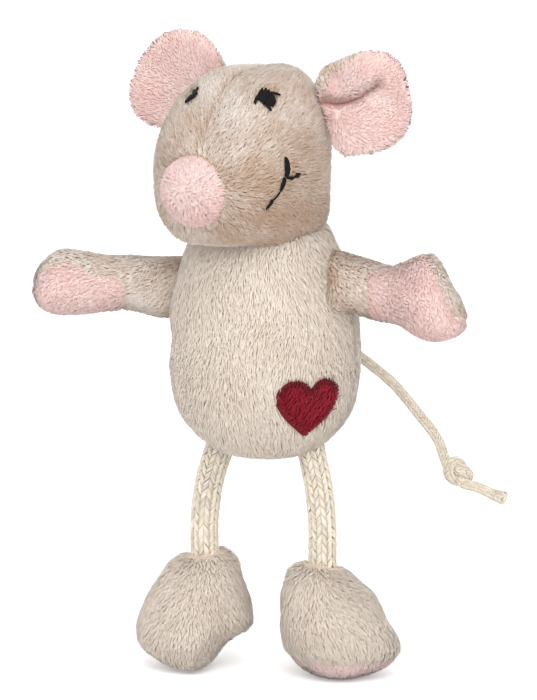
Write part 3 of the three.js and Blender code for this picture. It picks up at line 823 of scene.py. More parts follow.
def pile_group():
    """Node group: the colour and roughness of plush pile, from a darker root to a lighter tip, partly the
    fibres' own colour and partly painted shade deep in the pile, with soft patches.
    """
    found = bpy.data.node_groups.get("plush_pile")
    if found:
        return found
    inputs = {"Tip": "Color", "Root": "Color", "Patches": "Float", "Patch Scale": "Float"}
    group, given, sink = new_group("plush_pile", inputs, {"Colour": "Color", "Roughness": "Float"})
    along = value_of(group, "along", (-900, 300))
    tone = value_of(group, "tone", (-900, -300))
    spread = {"From Min": 0.3, "From Max": 0.7, "To Min": -0.5, "To Max": 0.5}
    spread["Value"] = noise_of(group, 3, given["Patch Scale"])
    wander = add_node(group, "MapRange", (-450, -600), spread).outputs["Result"]

    def computed(place, operation, *terms, **values):
        sockets = dict(enumerate(terms))
        return add_node(group, "Math", place, sockets, operation=operation, **values).outputs[0]

    patch = computed((-250, -600), "MULTIPLY", wander, given["Patches"])
    level = computed((-250, -300), "MULTIPLY_ADD", tone, 1.1, -0.15)
    # Darker towards the root: partly the fibres' own colour, partly painted shade deep in the pile.
    rise = computed((-250, 200), "MULTIPLY_ADD", along, 0.28, level)
    total = computed((-50, 0), "ADD", rise, patch, use_clamp=True)
    fibre = mixed_colour(group, (200, 200), total, given["Root"], given["Tip"])
    rough = add_node(group, "MapRange", (300, -300), {"To Min": 0.95, "To Max": 0.72, "Value": along})
    feed(group, sink, {"Colour": fibre, "Roughness": rough.outputs["Result"]})
    return group


def thread_group():
    """Node group: the colour of spun thread or yarn, with fine fibres along it."""
    found = bpy.data.node_groups.get("spun_thread")
    if found:
        return found
    inputs = {"Colour": "Color", "Spread": "Float", "Fibre Scale": "Float"}
    group, given, sink = new_group("spun_thread", inputs, {"Colour": "Color", "Height": "Float"})
    tone = value_of(group, "tone", (-800, -250))
    fibres = noise_of(group, 4, given["Fibre Scale"])
    total = add_node(group, "Math", (-350, -350), {0: tone, 1: fibres}, operation="ADD").outputs[0]
    centre = add_node(group, "Math", (-150, -350), {0: total, 1: 1.0}, operation="SUBTRACT").outputs[0]
    terms = {0: centre, 1: given["Spread"], 2: 1.0}
    scaled = add_node(group, "Math", (50, -350), terms, operation="MULTIPLY_ADD").outputs[0]
    colour = add_node(group, "HueSaturation", (300, 100), {"Color": given["Colour"], "Value": scaled})
    feed(group, sink, {"Colour": colour.outputs["Color"], "Height": fibres})
    return group


def new_material(name):
    """An empty material with its nodes and its Principled shader."""
    material = bpy.data.materials.new(name)
    material.use_nodes = True
    tree = material.node_tree
    shader = next(n for n in tree.nodes if n.type == "BSDF_PRINCIPLED")
    return material, tree, shader


def plush(cloth):
    """The pile of one of the three cloths."""
    found = bpy.data.materials.get(f"{cloth}_plush_pile")
    if found:
        return found
    colours = settings("colours")
    material, tree, shader = new_material(f"{cloth}_plush_pile")
    patches, patch_scale = PATCHES[cloth]
    sockets = {
        "Tip": (*getattr(colours, cloth), 1),
        "Root": (*getattr(colours, f"{cloth}_root"), 1),
        "Patches": patches,
        "Patch Scale": patch_scale,
    }
    group = add_node(tree, "Group", (-400, 100), sockets, node_tree=pile_group())
    sheen = {"Specular IOR Level": 0.2, "Sheen Weight": 0.25, "Sheen Roughness": 0.5}
    made = {"Base Color": group.outputs["Colour"], "Roughness": group.outputs["Roughness"]}
    feed(tree, shader, made | sheen)
    return material


def backing(cloth):
    """The knitted backing under the pile of a cloth, in its pile's root colour as painted shade between the
    tufts, in fine loops with painted shade in their hollows.
    """
    found = bpy.data.materials.get(f"{cloth}_backing")
    if found:
        return found
    key, hollow_shade = BACKINGS[cloth]
    colour = getattr(settings("colours"), key)
    material, tree, shader = new_material(f"{cloth}_backing")
    place = add_node(tree, "TexCoord", (-900, 0)).outputs["Object"]
    loops = add_node(tree, "TexVoronoi", (-700, 0), {"Scale": 1600, "Vector": place}).outputs["Distance"]
    mixed = mixed_colour(tree, (-350, 100), loops, (*[c * hollow_shade for c in colour], 1), (*colour, 1))
    bump = add_node(tree, "Bump", (-350, -250), {"Strength": 0.4, "Distance": 0.0003, "Height": loops})
    feed(tree, shader, {"Base Color": mixed, "Normal": bump.outputs["Normal"]})
    feed(tree, shader, {"Roughness": 0.95, "Specular IOR Level": 0.15})
    return material


def spun(name, colour, spread, fibre_scale, roughness, bump_height, gloss=0.3):
    """Cotton yarn or embroidery thread."""
    found = bpy.data.materials.get(name)
    if found:
        return found
    material, tree, shader = new_material(name)
    sockets = {"Colour": (*colour, 1), "Spread": spread, "Fibre Scale": fibre_scale}
    group = add_node(tree, "Group", (-500, 100), sockets, node_tree=thread_group()).outputs
    sockets = {"Strength": 0.5, "Distance": bump_height, "Height": group["Height"]}
    bump = add_node(tree, "Bump", (-250, -200), sockets)
    feed(tree, shader, {"Base Color": group["Colour"], "Normal": bump.outputs["Normal"]})
    feed(tree, shader, {"Roughness": roughness, "Specular IOR Level": gloss})
    return material


# ---------------------------------------------------------------- places


def at_rest(matrix=None):
    """The toy's own frame, or a part's frame in it, in metres."""
    shift = Matrix.Translation(STANDING)
    return Matrix.Scale(MM, 4) @ (shift @ matrix if matrix else shift)


def head_frame():
    return Matrix.Translation((0, 0, NECK_HEIGHT)) @ Matrix.Rotation(math.radians(-HEAD_TURN), 4, "Z")


def sign_of(side):
    return 1 if side == "left" else -1


def ear_frame(side):
    s = sign_of(side)
    turn = Matrix.Rotation(math.radians(s * EAR_TURNS[side]), 4, "Z")
    tilt = Matrix.Rotation(math.radians(-s * EAR_TILT), 4, "Y")
    return head_frame() @ Matrix.Translation((s * EAR_SPREAD, EAR_BACK, EAR_RISE)) @ turn @ tilt


def arm_frame(side):
    s = sign_of(side)
    turn = Matrix.Rotation(math.radians(-s * ARM_TURNS[side]), 4, "Z")
    drop = Matrix.Rotation(math.radians(s * ARM_DROPS[side]), 4, "Y")
    return Matrix.Translation(SHOULDERS[side]) @ turn @ drop


def foot_frame(side):
    s = sign_of(side)
    turn = Matrix.Rotation(math.radians(s * FOOT_TURNS[side]), 4, "Z")
    return Matrix.Translation((ANKLES[side].x, 0, 0)) @ turn


def to_place(ob, matrix):
    """Moves a form that was made in its part's own frame, in metres, to where it stands."""
    ob.data.transform(at_rest(matrix) @ Matrix.Scale(1 / MM, 4))
    ob.data.update()


def moved(points, matrix):
    matrix = np.array(matrix)
    return points @ matrix[:3, :3].T + matrix[:3, 3]


def local_points(points, matrix):
    """Points of the standing toy in a part's own frame, in millimetres."""
    return moved(points, at_rest(matrix).inverted())


def placed_points(own, matrix):
    """Points of a part's own frame, in millimetres, on the standing toy."""
    return moved(own, at_rest(matrix))


def world_ways(ways, matrix):
    """Directions of a part's own frame as directions of the standing toy."""
    return np.asarray(ways) @ np.array(matrix.to_3x3()).T


def wear(ob, *materials):
    ob.data.materials.clear()
    for material in materials:
        ob.data.materials.append(material)


def cover(skin, cloths, nodes, body=None, second=None):
    """Dresses a stuffed skin in cloth, in a second one where second is true, hangs it on the body where one
    is named, and hides the parts that it stands for.
    """
    wear(skin, *(backing(cloth) for cloth in cloths))
    if second is not None:
        for face in skin.data.polygons:
            face.material_index = int(all(second[v] for v in face.vertices))
    if body is not None:
        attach(skin, body)
    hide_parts(*nodes)


def skin_surface(ob):
    """A search tree over a finished skin."""
    co, tri, *_ = corners_of(ob)
    return BVHTree.FromPolygons(co.tolist(), tri.tolist())


def seen_on(surface, place, way):
    """Where a line of sight meets a skin, and the skin's normal there, turned to the viewer."""
    hit, normal, *_ = surface.ray_cast(place - way * SIGHT, way)
    if hit is not None and normal.dot(way) > 0:
        normal = -normal
    return hit, normal


def needed(name):
    ob = bpy.data.objects.get(name)
    if ob is None:
        raise RuntimeError(f"{name} isn't made yet")
    return ob


def picture_ways():
    """The camera's right, up and backward directions."""
    stage = settings("stage")
    a, e = stage.azimuth, stage.elevation
    right = Vector((math.cos(a), math.sin(a), 0))
    back = Vector((math.sin(a) * math.cos(e), -math.cos(a) * math.cos(e), math.sin(e)))
    return right, back.cross(right), back


def picture_point(flat):
    """A point as the camera sees it: millimetres right of and above the middle of the floor."""
    right, up, _ = picture_ways()
    return STANDING * MM + right * flat[0] * MM + up * flat[1] * MM


def as_seen(points):
    """Points as the camera sees them: millimetres right and up, and towards it."""
    return (points - np.array(STANDING) * MM) @ np.array(picture_ways()).T / MM


def grab(ob, pulls):
    """Pulls a form's cloth about, as a sculptor's grab brush does."""
    ways = np.array(picture_ways())
    co = points_of(ob.data)
    seen = as_seen(co)
    for x, y, reach, *move in pulls:
        near = np.clip(1 - ((seen[:, 0] - x) ** 2 + (seen[:, 1] - y) ** 2) / reach**2, 0, 1) ** 2
        co = co + near[:, None] * (np.array(move) @ ways[: len(move)]) * MM
    put_points(ob.data, co)


def line_distance(flat, line):
    """Distance of points from a broken line."""
    best = np.full(len(flat), FAR)
    for a, b in zip(line, line[1:]):
        run = b - a
        t = np.clip(((flat - a) @ run) / (run @ run), 0, 1)[:, None]
        best = np.minimum(best, np.linalg.norm(flat - a - t * run, axis=1))
    return best


def inside_distance(points, outline):
    """How far points lie inside an outline that is drawn as the camera sees it, in millimetres."""
    flat = as_seen(points)[:, :2]
    closed = np.array([*outline, outline[0]])
    away = line_distance(flat, closed)
    return np.where(within(flat, closed[:-1]), away, -away)


def within(points, outline):
    """True for each flat point that lies within a closed outline."""
    inside = np.zeros(len(points), bool)
    for a, b in zip(outline, np.roll(outline, -1, axis=0)):
        crosses = (a[1] > points[:, 1]) != (b[1] > points[:, 1])
        x = (b[0] - a[0]) * (points[:, 1] - a[1]) / (b[1] - a[1] + 1e-12) + a[0]
        inside ^= crosses & (points[:, 0] < x)
    return inside


# ---------------------------------------------------------------- operators


class MOUSE_OT_camera(bpy.types.Operator):
    """Set up the camera"""

    bl_idname = "plush_mouse.camera"
    bl_label = "Camera"

    def execute(self, context):
        stage = settings("stage")
        right, up, back = picture_ways()
        pixel = stage.frame_height / PHOTO_HEIGHT
        aside, above = PHOTO_MIDDLE[0] - PHOTO_FLOOR[0], PHOTO_FLOOR[1] - PHOTO_MIDDLE[1]
        middle = STANDING * MM + right * aside * pixel + up * above * pixel
        data = bpy.data.cameras.new("camera")
        data.sensor_width = SENSOR_WIDTH
        data.lens = SENSOR_WIDTH * stage.distance / stage.frame_height
        data.clip_end = 50
        camera = new_object("camera", data)
        turned = Matrix((right, up, back)).transposed().to_4x4()
        camera.matrix_world = Matrix.Translation(middle + back * stage.distance) @ turned
        context.scene.camera = camera
        return {"FINISHED"}


class MOUSE_OT_tail(bpy.types.Operator):
    """Braid the tail cord and tie its knot"""

    bl_idname = "plush_mouse.tail"
    bl_label = "Tail cord"

    def route(self):
        """The tail's line, with its knot, in millimetres."""
        exit = np.array(TAIL_EXIT)
        stretch = np.array(TAIL_STRETCH) + exit
        end = np.array(TAIL_END) + exit
        along = unit(stretch[-1] - end[0])
        front = np.array((0, -1, 0))
        front = unit(front - along * (front @ along))
        across = np.cross(along, front)
        after = np.array(KNOT_HALF) * KNOT_SIZE
        before = (after * (1, -1, -1))[::-1]
        turn = math.radians(KNOT_TURN)
        across, front = (
            across * math.cos(turn) + front * math.sin(turn),
            front * math.cos(turn) - across * math.sin(turn),
        )
        knot = np.concatenate([before, after]) @ np.array([across, along, front])
        knot = knot + np.array(KNOT_PLACE) + exit
        return smooth_line(np.concatenate([stretch, knot, end]), steps=16) + np.array(STANDING)

    def execute(self, context):
        sizes = settings("cords")
        line = self.route() * MM
        half = sizes.tail_width / 2

        def girth(run):
            """The cord is a little thicker in the knot and frays at its cut end."""
            knot = np.clip(1.2 - np.abs(run - KNOT_RUN) / 0.014, 0, 1) ** 0.5
            cut = np.clip((run - run[-1] + 0.005) / 0.004, 0, 1)
            return 1.2 + 0.06 * knot + 0.4 * cut

        braid = Braid(half, half, 10, 0.00098, 0.00115, 3, 0.000125, 0.0002, 0.00005, girth)
        points, triangles, tone = braid_arrays(even_points(line, 400), braid, 31)
        tail = mesh_piece("tail_braid", points, triangles, {"tone": tone})
        cotton = [c * 0.96 for c in settings("colours").cord]
        wear(tail, spun("tail_cotton", cotton, 0.4, 2600, 0.85, 0.00005))
        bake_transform(tail)
        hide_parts("tail_cord")
        return {"FINISHED"}


class MOUSE_OT_legs(bpy.types.Operator):
    """Braid the two leg cords"""

    bl_idname = "plush_mouse.legs"
    bl_label = "Leg cords"

    def execute(self, context):
        sizes = settings("cords")
        half_width, half_depth = sizes.leg_width / 2, sizes.leg_thickness / 2
        braid = Braid(half_width, half_depth, 14, 0.0025, 0.0026, 5, 0.00016, 0.00036, 0.00026)
        for number, side in enumerate(SIDES):
            hip, ankle = HIPS[side], ANKLES[side]
            bow = hip.lerp(ankle, 0.34)
            bow.x = hip.x + (ankle.x - hip.x) * 0.68
            shin = hip.lerp(ankle, 0.7)
            shin.x = ankle.x
            line = smooth_line([hip, bow, shin, ankle])
            top = line[0] + unit(line[0] - line[4]) * 3.5
            low = line[-1] + (0, 0, -3.5)
            line = np.concatenate([[top], line, [low]]) + np.array(STANDING) + (0.2, 0, 0)
            points, triangles, tone = braid_arrays(even_points(line * MM, 120), braid, 40 + number)
            leg = mesh_piece(f"{side}_leg_braid", points, triangles, {"tone": tone})
            wear(leg, spun("leg_cotton", settings("colours").cord, 0.42, 1800, 0.85, 0.00008))
            low = line[len(line) // 3] * MM
            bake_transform(leg)
            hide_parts(f"{side}_leg_cord")
        return {"FINISHED"}


def near_line(values, width):
    return np.abs(values) < width


def back_seam(own):
    """Distance of body points from the seam down the back."""
    return np.where(own[:, 1] > 0, own[:, 0], FAR)


def body_lay(points, normals):
    """The body's pile lies downwards and wanders a little."""
    own = local_points(points, None)
    sway = ripple(points, 0.03, 5) * 0.35 + ripple(points, 0.012, 6) * 0.2
    lay = np.stack([sway * np.cos(own[:, 0] / 30), sway * 0.4, -np.ones(len(points))], 1)
    under = np.clip((66 - own[:, 2]) / 10, 0, 1)[:, None]
    inward = -unit(own * (1, 1, 0) + 1e-6)
    return lay * (1 - under) + (lay * 0.5 + inward) * under


class MOUSE_OT_body(bpy.types.Operator):
    """Stuff the body and grow its pile"""

    bl_idname = "plush_mouse.body"
    bl_label = "Body"

    def execute(self, context):
        sizes = settings("sizes")
        skin = stuffed_form(
            "body_skin",
            BODY_SHARES,
            (NECK_HEIGHT - BODY_BOTTOM, BODY_HALF_WIDTH, BODY_HALF_DEPTH),
            ((0, 0, 1), (1, 0, 0), (0, 1, 0)),
            (0, 0, BODY_BOTTOM),
            *(0.75, 72, 48),
        )
        own = points_of(skin.data) / MM
        sides = near_line(own[:, 1], 0.9) | (near_line(own[:, 0], 0.9) & (own[:, 1] > 0))
        swell(skin, sides | (own[:, 2] > NECK_HEIGHT - 1), 0.7)
        to_place(skin, None)
        grab(skin, PULLS["body"])
        finish_skin(skin)
        own = local_points(points_of(skin.data), None)
        pull_seam(skin, own[:, 1], 1.6, 0.5)
        pull_seam(skin, back_seam(own), 1.6, 0.5)
        nodes = ("body_front_panel", "body_back_left_panel", "body_back_right_panel", "body_stuffing")
        cover(skin, ["cream"], nodes, "torso")
        heart = heart_outline()

        def bare(points, low, high):
            """True where a panel has pile: not under the head, the arms, the legs and the heart."""
            own = local_points(points, None)
            turn = np.degrees(np.arctan2(own[:, 1], own[:, 0]))
            covered = (own[:, 2] > NECK_HEIGHT - 0.8) & (np.hypot(own[:, 0], own[:, 1]) < 15)
            stays = ~covered & (turn >= low) & (turn < high)
            for side in SIDES:
                away = np.hypot(own[:, 0] - HIPS[side].x, own[:, 1])
                stays &= (away > 3.0) | (own[:, 2] > 70)
                away = np.hypot(own[:, 1] + 1.5, own[:, 2] - SHOULDERS[side].z)
                stays &= (away > 6.0) | (own[:, 0] * sign_of(side) < 15)
            inside = (own[:, 1] < 0) & within(heart_plane(own) * 1.04, heart)
            return stays & ~inside

        def tone(points):
            own = local_points(points, None)
            # Painted shade: the pile is darker along the side seams and the back seam, where it parts.
            seam = apart(own[:, 1], 1.2) * 0.25 + apart(back_seam(own), 1.2) * 0.25
            return 0.12 * ripple(points, 0.02, 8) - seam

        pile = Pile(sizes.body_pile, sizes.tuft_width, sizes.closeness, 0.45, 0.2, 0.35, 0.8)
        for number, (name, low, high) in enumerate(
            (("body_pile_front", -180, 0), ("body_pile_back_left", 0, 90), ("body_pile_back_right", 90, 180))
        ):
            keep = lambda points, normals: bare(points, low, high)
            add_pile(name, skin, "cream", "torso", pile, body_lay, 11 + number, keep, tone)
        return {"FINISHED"}


def heart_outline():
    """The heart's outline as close points in its own plane, in millimetres."""
    points = []
    size = np.array((HEART_WIDTH / 2, HEART_HEIGHT)) * HEART_STITCHED
    start = np.array((0, -HEART_LOW)) * size
    for row in HEART_CURVES:
        a, b, end = (np.array(row[k : k + 2]) * size for k in (0, 2, 4))
        for t in np.arange(14) / 14:
            ends = (1 - t) ** 3 * start + t**3 * end
            points.append(ends + 3 * (1 - t) ** 2 * t * a + 3 * (1 - t) * t**2 * b)
        start = end
    return np.array(points)


def heart_plane(own):
    """Points of the body in the plane of the heart: across and up, in millimetres."""
    turn = math.radians(HEART_TURN)
    return np.stack([own[:, 0] * math.cos(turn) + own[:, 1] * math.sin(turn), own[:, 2] - HEART_RISE], 1)


def laid_threads(stitches, surface, place_of, way, lift, bow, steps=6):
    """Lays straight stitches, each from one flat point to another, over a skin: lifted towards the viewer
    by lift, and bowed outwards in the middle. Both are in metres."""
    paths, ups = [], []
    for a, b in stitches:
        share = np.linspace(0, 1, steps)
        flat = np.array(a)[None] * (1 - share[:, None]) + np.array(b)[None] * share[:, None]
        path, out = [], []
        for point, t in zip(flat, share):
            hit, normal = seen_on(surface, place_of(point), way)
            if hit is None:
                break
            path.append(tuple(hit - way * lift + normal * bow * (math.sin(math.pi * t) - 0.5)))
            out.append(tuple(normal))
        if len(path) == steps:
            paths.append(path)
            ups.append(out)
    return np.array(paths), np.array(ups)


class MOUSE_OT_heart(bpy.types.Operator):
    """Stitch the heart"""

    bl_idname = "plush_mouse.heart"
    bl_label = "Heart"

    def execute(self, context):
        rng = np.random.default_rng(3)
        surface = skin_surface(needed("body_skin"))
        outline = heart_outline()
        turn = math.radians(HEART_TURN)
        across = Vector((math.cos(turn), math.sin(turn), 0))
        way = Vector((-math.sin(turn), math.cos(turn), 0))
        middle = (STANDING + Vector((0, 0, HEART_RISE))) * MM

        def place_of(flat):
            return middle + across * flat[0] * MM + Vector((0, 0, 1)) * flat[1] * MM

        fill = []
        lean = math.radians(56)
        along = np.array((math.cos(lean), math.sin(lean)))
        over = np.array((-along[1], along[0]))
        for row, offset in enumerate(np.arange(-13, 13, 0.24)):
            start = -13 + (row % 5) * 0.3 + rng.uniform(0, 0.3)
            for run in np.arange(start, 13, 1.45):
                a = over * offset + along * run + rng.normal(0, 0.1, 2)
                b = a + along * (1.7 + rng.normal(0, 0.25)) + over * rng.normal(0, 0.3)
                if within(np.array([a, b, (a + b) / 2]), outline * 0.93).sum() >= 2:
                    fill.append((a, b))
        border = []
        closed = even_points(np.concatenate([outline, outline[:1]]), 230)
        edge = unit(np.gradient(closed, axis=0))
        inward = np.stack([-edge[:, 1], edge[:, 0]], 1)
        for point, into, forward in zip(closed, inward, edge):
            reach = rng.uniform(0.9, 1.7)
            a = point - into * rng.uniform(-0.25, 0.45)
            border.append((a, point + into * reach + forward * rng.normal(0.35, 0.3)))
        loose = []
        for k in (22, 57, 96, 120, 150, 171, 40, 83):
            point, into, forward = closed[k], inward[k], edge[k]
            a = point + into * 0.5
            loose.append((a, point - into * rng.uniform(0.8, 1.3) + forward * rng.normal(0, 0.7)))
        parts = []
        for stitches, lift, radius, tone in (
            (fill, 0.00125, 0.00014, 0.6),
            (border, 0.0016, 0.00014, 0.4),
            (loose, 0.0019, 0.0001, 0.3),
        ):
            paths, ups = laid_threads(stitches, surface, place_of, way, lift, 0.00014)
            points, triangles, each = thread_arrays(paths, ups, radius)
            # The border's stitches darken towards the heart's top: partly a darker satin border and partly
            # painted shade where the pile overhangs the upper lobes.
            high = np.clip((paths[:, 0, 2] - STANDING[2] * MM) / MM - HEART_RISE - 2.5, 0, 2) * 0.25
            shade = rng.normal(tone, 0.2, len(paths)) - (high if stitches is border else 0)
            tones = np.repeat(np.clip(shade, -0.2, 1), each)
            parts.append((points, triangles, tones))
        pad_points, pad_triangles = self.pad(outline, surface, place_of, way)
        parts.append((pad_points, pad_triangles, np.full(len(pad_points), 0.1)))
        heart = joined_arrays("heart_stitching", parts)
        colour = settings("colours").heart
        wear(heart, spun("crimson_thread_stitches", colour, 0.9, 3200, 0.32, 0.00004, gloss=0.22))
        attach(heart, "torso")
        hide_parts("heart_patch")
        return {"FINISHED"}

    def pad(self, outline, surface, place_of, way):
        """The close ground of thread under the stitches."""
        rings = [outline * share for share in (0.97, 0.8, 0.6, 0.4, 0.2)]
        top, low = [], []
        for flat in [p for ring in rings for p in ring] + [np.zeros(2)]:
            hit, normal = seen_on(surface, place_of(flat), way)
            if hit is None:
                raise RuntimeError("the heart misses the body")
            top.append(tuple(hit + normal * 0.0009))
            low.append(tuple(hit - normal * 0.0002))
        count, total = len(outline), len(top)
        faces = []
        for r in range(len(rings) - 1):
            for k in range(count):
                j = (k + 1) % count
                a, b, c, d = r * count + k, r * count + j, (r + 1) * count + j, (r + 1) * count + k
                faces += [(a, b, c), (a, c, d)]
                faces += [(total + a, total + c, total + b), (total + a, total + d, total + c)]
        last = (len(rings) - 1) * count
        for k in range(count):
            j = (k + 1) % count
            faces += [(last + k, last + j, total - 1), (total + last + k, 2 * total - 1, total + last + j)]
            faces += [(k, total + k, total + j), (k, total + j, j)]
        return np.array(top + low), np.array(faces)


def joined_arrays(name, parts):
    """One piece from several sets of points, triangles and tones."""
    points, triangles, tones, start = [], [], [], 0
    for p, t, tone in parts:
        points.append(p)
        triangles.append(t + start)
        tones.append(tone)
        start += len(p)
    points, triangles, tones = (np.concatenate(rows) for rows in (points, triangles, tones))
    return mesh_piece(name, points, triangles, {"tone": tones})


# Where the head's pile starts to lie away from, and the ends of the left chin dart, in the head's own frame.
NOSE_ROOT = np.array((0, -30.0, 17.0))
DART = np.array(((17.0, -22.5, 12.5), (11.0, -25.0, 1.0)))


def head_lay(points, normals):
    """The head's pile lies away from the nose and parts at the middle seam."""
    own = local_points(points, head_frame())
    away = unit(own - NOSE_ROOT)
    part = np.sign(own[:, 0]) * apart(own[:, 0], 6) * np.clip((own[:, 2] - 20) / 12, 0, 1)
    lay = away + np.stack([part * 0.6, np.zeros(len(own)), np.zeros(len(own))], 1)
    low = np.clip((18 - own[:, 2]) / 18, 0, 1)
    lay[:, 2] -= low * 0.9
    lay += np.stack([ripple(points, 0.02, 21), ripple(points, 0.02, 22), ripple(points, 0.02, 23)], 1) * 0.22
    return world_ways(lay, head_frame())


def dart_distance(own):
    """Distance of head points from the two chin darts, in millimetres."""
    return np.minimum(line_distance(own, DART), line_distance(own, DART * (-1, 1, 1)))


class MOUSE_OT_head(bpy.types.Operator):
    """Stuff the head and grow its pile"""

    bl_idname = "plush_mouse.head"
    bl_label = "Head"

    def execute(self, context):
        sizes = settings("sizes")
        skin = stuffed_form(
            "head_skin",
            HEAD_SHARES,
            (HEAD_LENGTH, HEAD_HALF_WIDTH, HEAD_HALF_HEIGHT),
            ((0, -1, 0), (1, 0, 0), (0, 0, 1)),
            (0, HEAD_BACK, 0),
            *(1.5, 80, 56, 2.5),
        )
        own = points_of(skin.data) / MM
        low = own[:, 2] - 0.6
        own[:, 2] = np.where(low < 0, 0.6 - 0.9 * (1 - np.exp(low / 3)), own[:, 2])
        put_points(skin.data, own * MM)
        swell(skin, near_line(own[:, 0], 0.7) | (dart_distance(own) < 1.2) | (own[:, 2] < 0.7), 0.35)
        place = head_frame()
        to_place(skin, place)
        grab(skin, PULLS["head"])
        finish_skin(skin)
        own = local_points(points_of(skin.data), place)
        pull_seam(skin, np.where(own[:, 2] > 10, own[:, 0], FAR), 1.3, 0.15)
        pull_seam(skin, dart_distance(own), 1.5, 0.9)
        for side in SIDES:
            eye = np.array((sign_of(side) * EYE_SPREAD, -EYE_REACH, EYE_RISE + 0.8))
            pull_seam(skin, np.linalg.norm(own - eye, axis=1), 3.4, 0.5)
        cover(skin, ["beige"], ("head_left_panel", "head_right_panel", "head_stuffing"), "head")

        def bare(points, normals, part):
            """True where a part of the head has pile: not under the nose, stitches, neck and ears."""
            own = local_points(points, place)
            away = (own - (0, -NOSE_REACH, NOSE_RISE)) / (NOSE_RADIUS, NOSE_DEPTH, NOSE_RADIUS)
            neck = (own[:, 2] <= 1.2) & (np.hypot(own[:, 0], own[:, 1]) <= 19)
            stays = (np.linalg.norm(away, axis=1) > 0.86) & ~neck
            hidden = normals @ np.array(picture_ways()[2]) <= -0.1
            stays &= (stroke_distance(points, EYE_STROKES["left"]) > -0.05) | hidden
            stays &= (stroke_distance(points, EYE_STROKES["right"]) > 0.4) | hidden
            stays &= (stroke_distance(points, MOUTH_STROKES) > -0.05) | hidden
            other = placed_points(own * (-1, 1, 1), place)
            stays &= (stroke_distance(other, MOUTH_STROKES) > -0.05) | (own[:, 0] > 0) | (own[:, 1] > -2)
            for side in SIDES:
                x, y, z = local_points(points, ear_frame(side)).T
                stays &= (np.hypot(x, y) > 1.4) | (np.abs(z) > 6.5)
                stays &= (np.hypot(x - 1.2 * sign_of(side), y - 2.5) > 3.2) | (np.abs(z) > 9)
            group = np.where(own[:, 1] > -2, 2, np.where(own[:, 0] > 0, 0, 1))
            return stays & (group == part)

        def tone(points):
            own = local_points(points, place)
            # Painted shade: the pile is darker along the middle seam and in the chin darts' creases.
            seam = apart(own[:, 0], 0.8) * np.clip((own[:, 2] - 18) / 8, 0, 1) * 0.16
            dart_shade = apart(dart_distance(own), 1.2) * 0.3
            # Painted light: the forehead's pile is lighter and the lower head's darker; painted shade darkens
            # it towards both cheeks.
            brow_light_and_shade = np.clip((own[:, 2] - 24) / 14, -1, 1) * 0.14
            flank_shade = np.clip((own[:, 0] - 5) / 10, 0, 1) * 0.32 + np.clip((-own[:, 0] - 3) / 10, 0, 1) * 0.22
            return 0.16 * ripple(points, 0.014, 9) + brow_light_and_shade - flank_shade - seam - dart_shade

        width, closeness = sizes.tuft_width * 0.82, sizes.closeness * 1.45
        pile = Pile(sizes.head_pile, width, closeness, 0.65, 0.35, 0.42, 0.9, 0.4)
        for part, name in enumerate(("head_pile_left", "head_pile_right", "head_pile_back")):
            keep = lambda points, normals: bare(points, normals, part)
            add_pile(name, skin, "beige", "head", pile, head_lay, 51 + part, keep, tone)
        return {"FINISHED"}


class MOUSE_OT_nose(bpy.types.Operator):
    """Stuff the nose and grow its short pile"""

    bl_idname = "plush_mouse.nose"
    bl_label = "Nose"

    def execute(self, context):
        sizes = settings("sizes")
        bpy.ops.object.select_all(action="DESELECT")
        bpy.ops.mesh.primitive_ico_sphere_add(subdivisions=4, radius=1)
        skin = context.active_object
        skin.name = skin.data.name = "nose_skin"
        co = points_of(skin.data) * (NOSE_RADIUS - 0.8, NOSE_DEPTH - 0.8, NOSE_RADIUS - 1.5)
        put_points(skin.data, (co + (0, -NOSE_REACH, NOSE_RISE - 0.7)) * MM)
        place = head_frame()
        to_place(skin, place)
        only(skin)
        bpy.ops.object.shade_smooth()
        cover(skin, ["pink"], ["nose_tip"], "head")

        def lay(points, normals):
            own = local_points(points, place)
            flow = (own - (0, -NOSE_REACH - 6, NOSE_RISE + 1)) * (1, 0.4, 1)
            return world_ways(unit(flow) + (0, 0.3, 0), place)

        def front(points, normals):
            return local_points(points, place)[:, 1] < -NOSE_REACH + 3.2

        def tone(points):
            # Painted light: the nose's pile is lighter at its top middle, a painted highlight, and darker
            # towards its rim, painted shade.
            own = local_points(points, place) - (0, -NOSE_REACH, NOSE_RISE)
            away = np.clip(np.hypot(own[:, 0] - 1, own[:, 2] - 2) / NOSE_RADIUS, 0, 1)
            return 0.3 - 0.55 * away**2

        pile = Pile(sizes.body_pile * 0.65, 0.00038, sizes.closeness * 2.0, 0.8, 0.35, 0.4, 1.2, 0.6, 0.25)
        add_pile("nose_pile", skin, "pink", "head", pile, lay, 61, front, tone)
        return {"FINISHED"}


# Strokes of satin stitch as the camera sees them: from, to, and the width at each end.
EYE_STROKES = {
    "left": [
        ((-1.9, 146.2), (-0.6, 148.6), 1.0, 1.2), ((-1.2, 145.7), (0.4, 148.6), 1.1, 1.3),
        ((-0.6, 145.2), (1.2, 148.2), 1.2, 1.2), ((0.2, 144.6), (1.9, 147.5), 1.1, 1.2),
        ((1.0, 144.3), (2.4, 146.8), 1.0, 1.1), ((1.9, 144.3), (2.7, 145.9), 0.9, 0.8),
        ((1.0, 147.8), (4.0, 147.2), 0.9, 0.4), ((-1.9, 146.9), (-2.6, 145.0), 0.8, 0.9),
        ((0.3, 144.7), (1.6, 143.2), 0.8, 0.45),
    ],
    "right": [
        ((-18.5, 147.9), (-17.6, 148.4), 1.1, 1.0), ((-17.7, 148.3), (-17.9, 147.5), 1.1, 1.0),
        ((-17.9, 147.6), (-20.4, 145.5), 1.15, 0.7), ((-17.5, 148.5), (-17.1, 149.2), 0.5, 0.35),
    ],
}
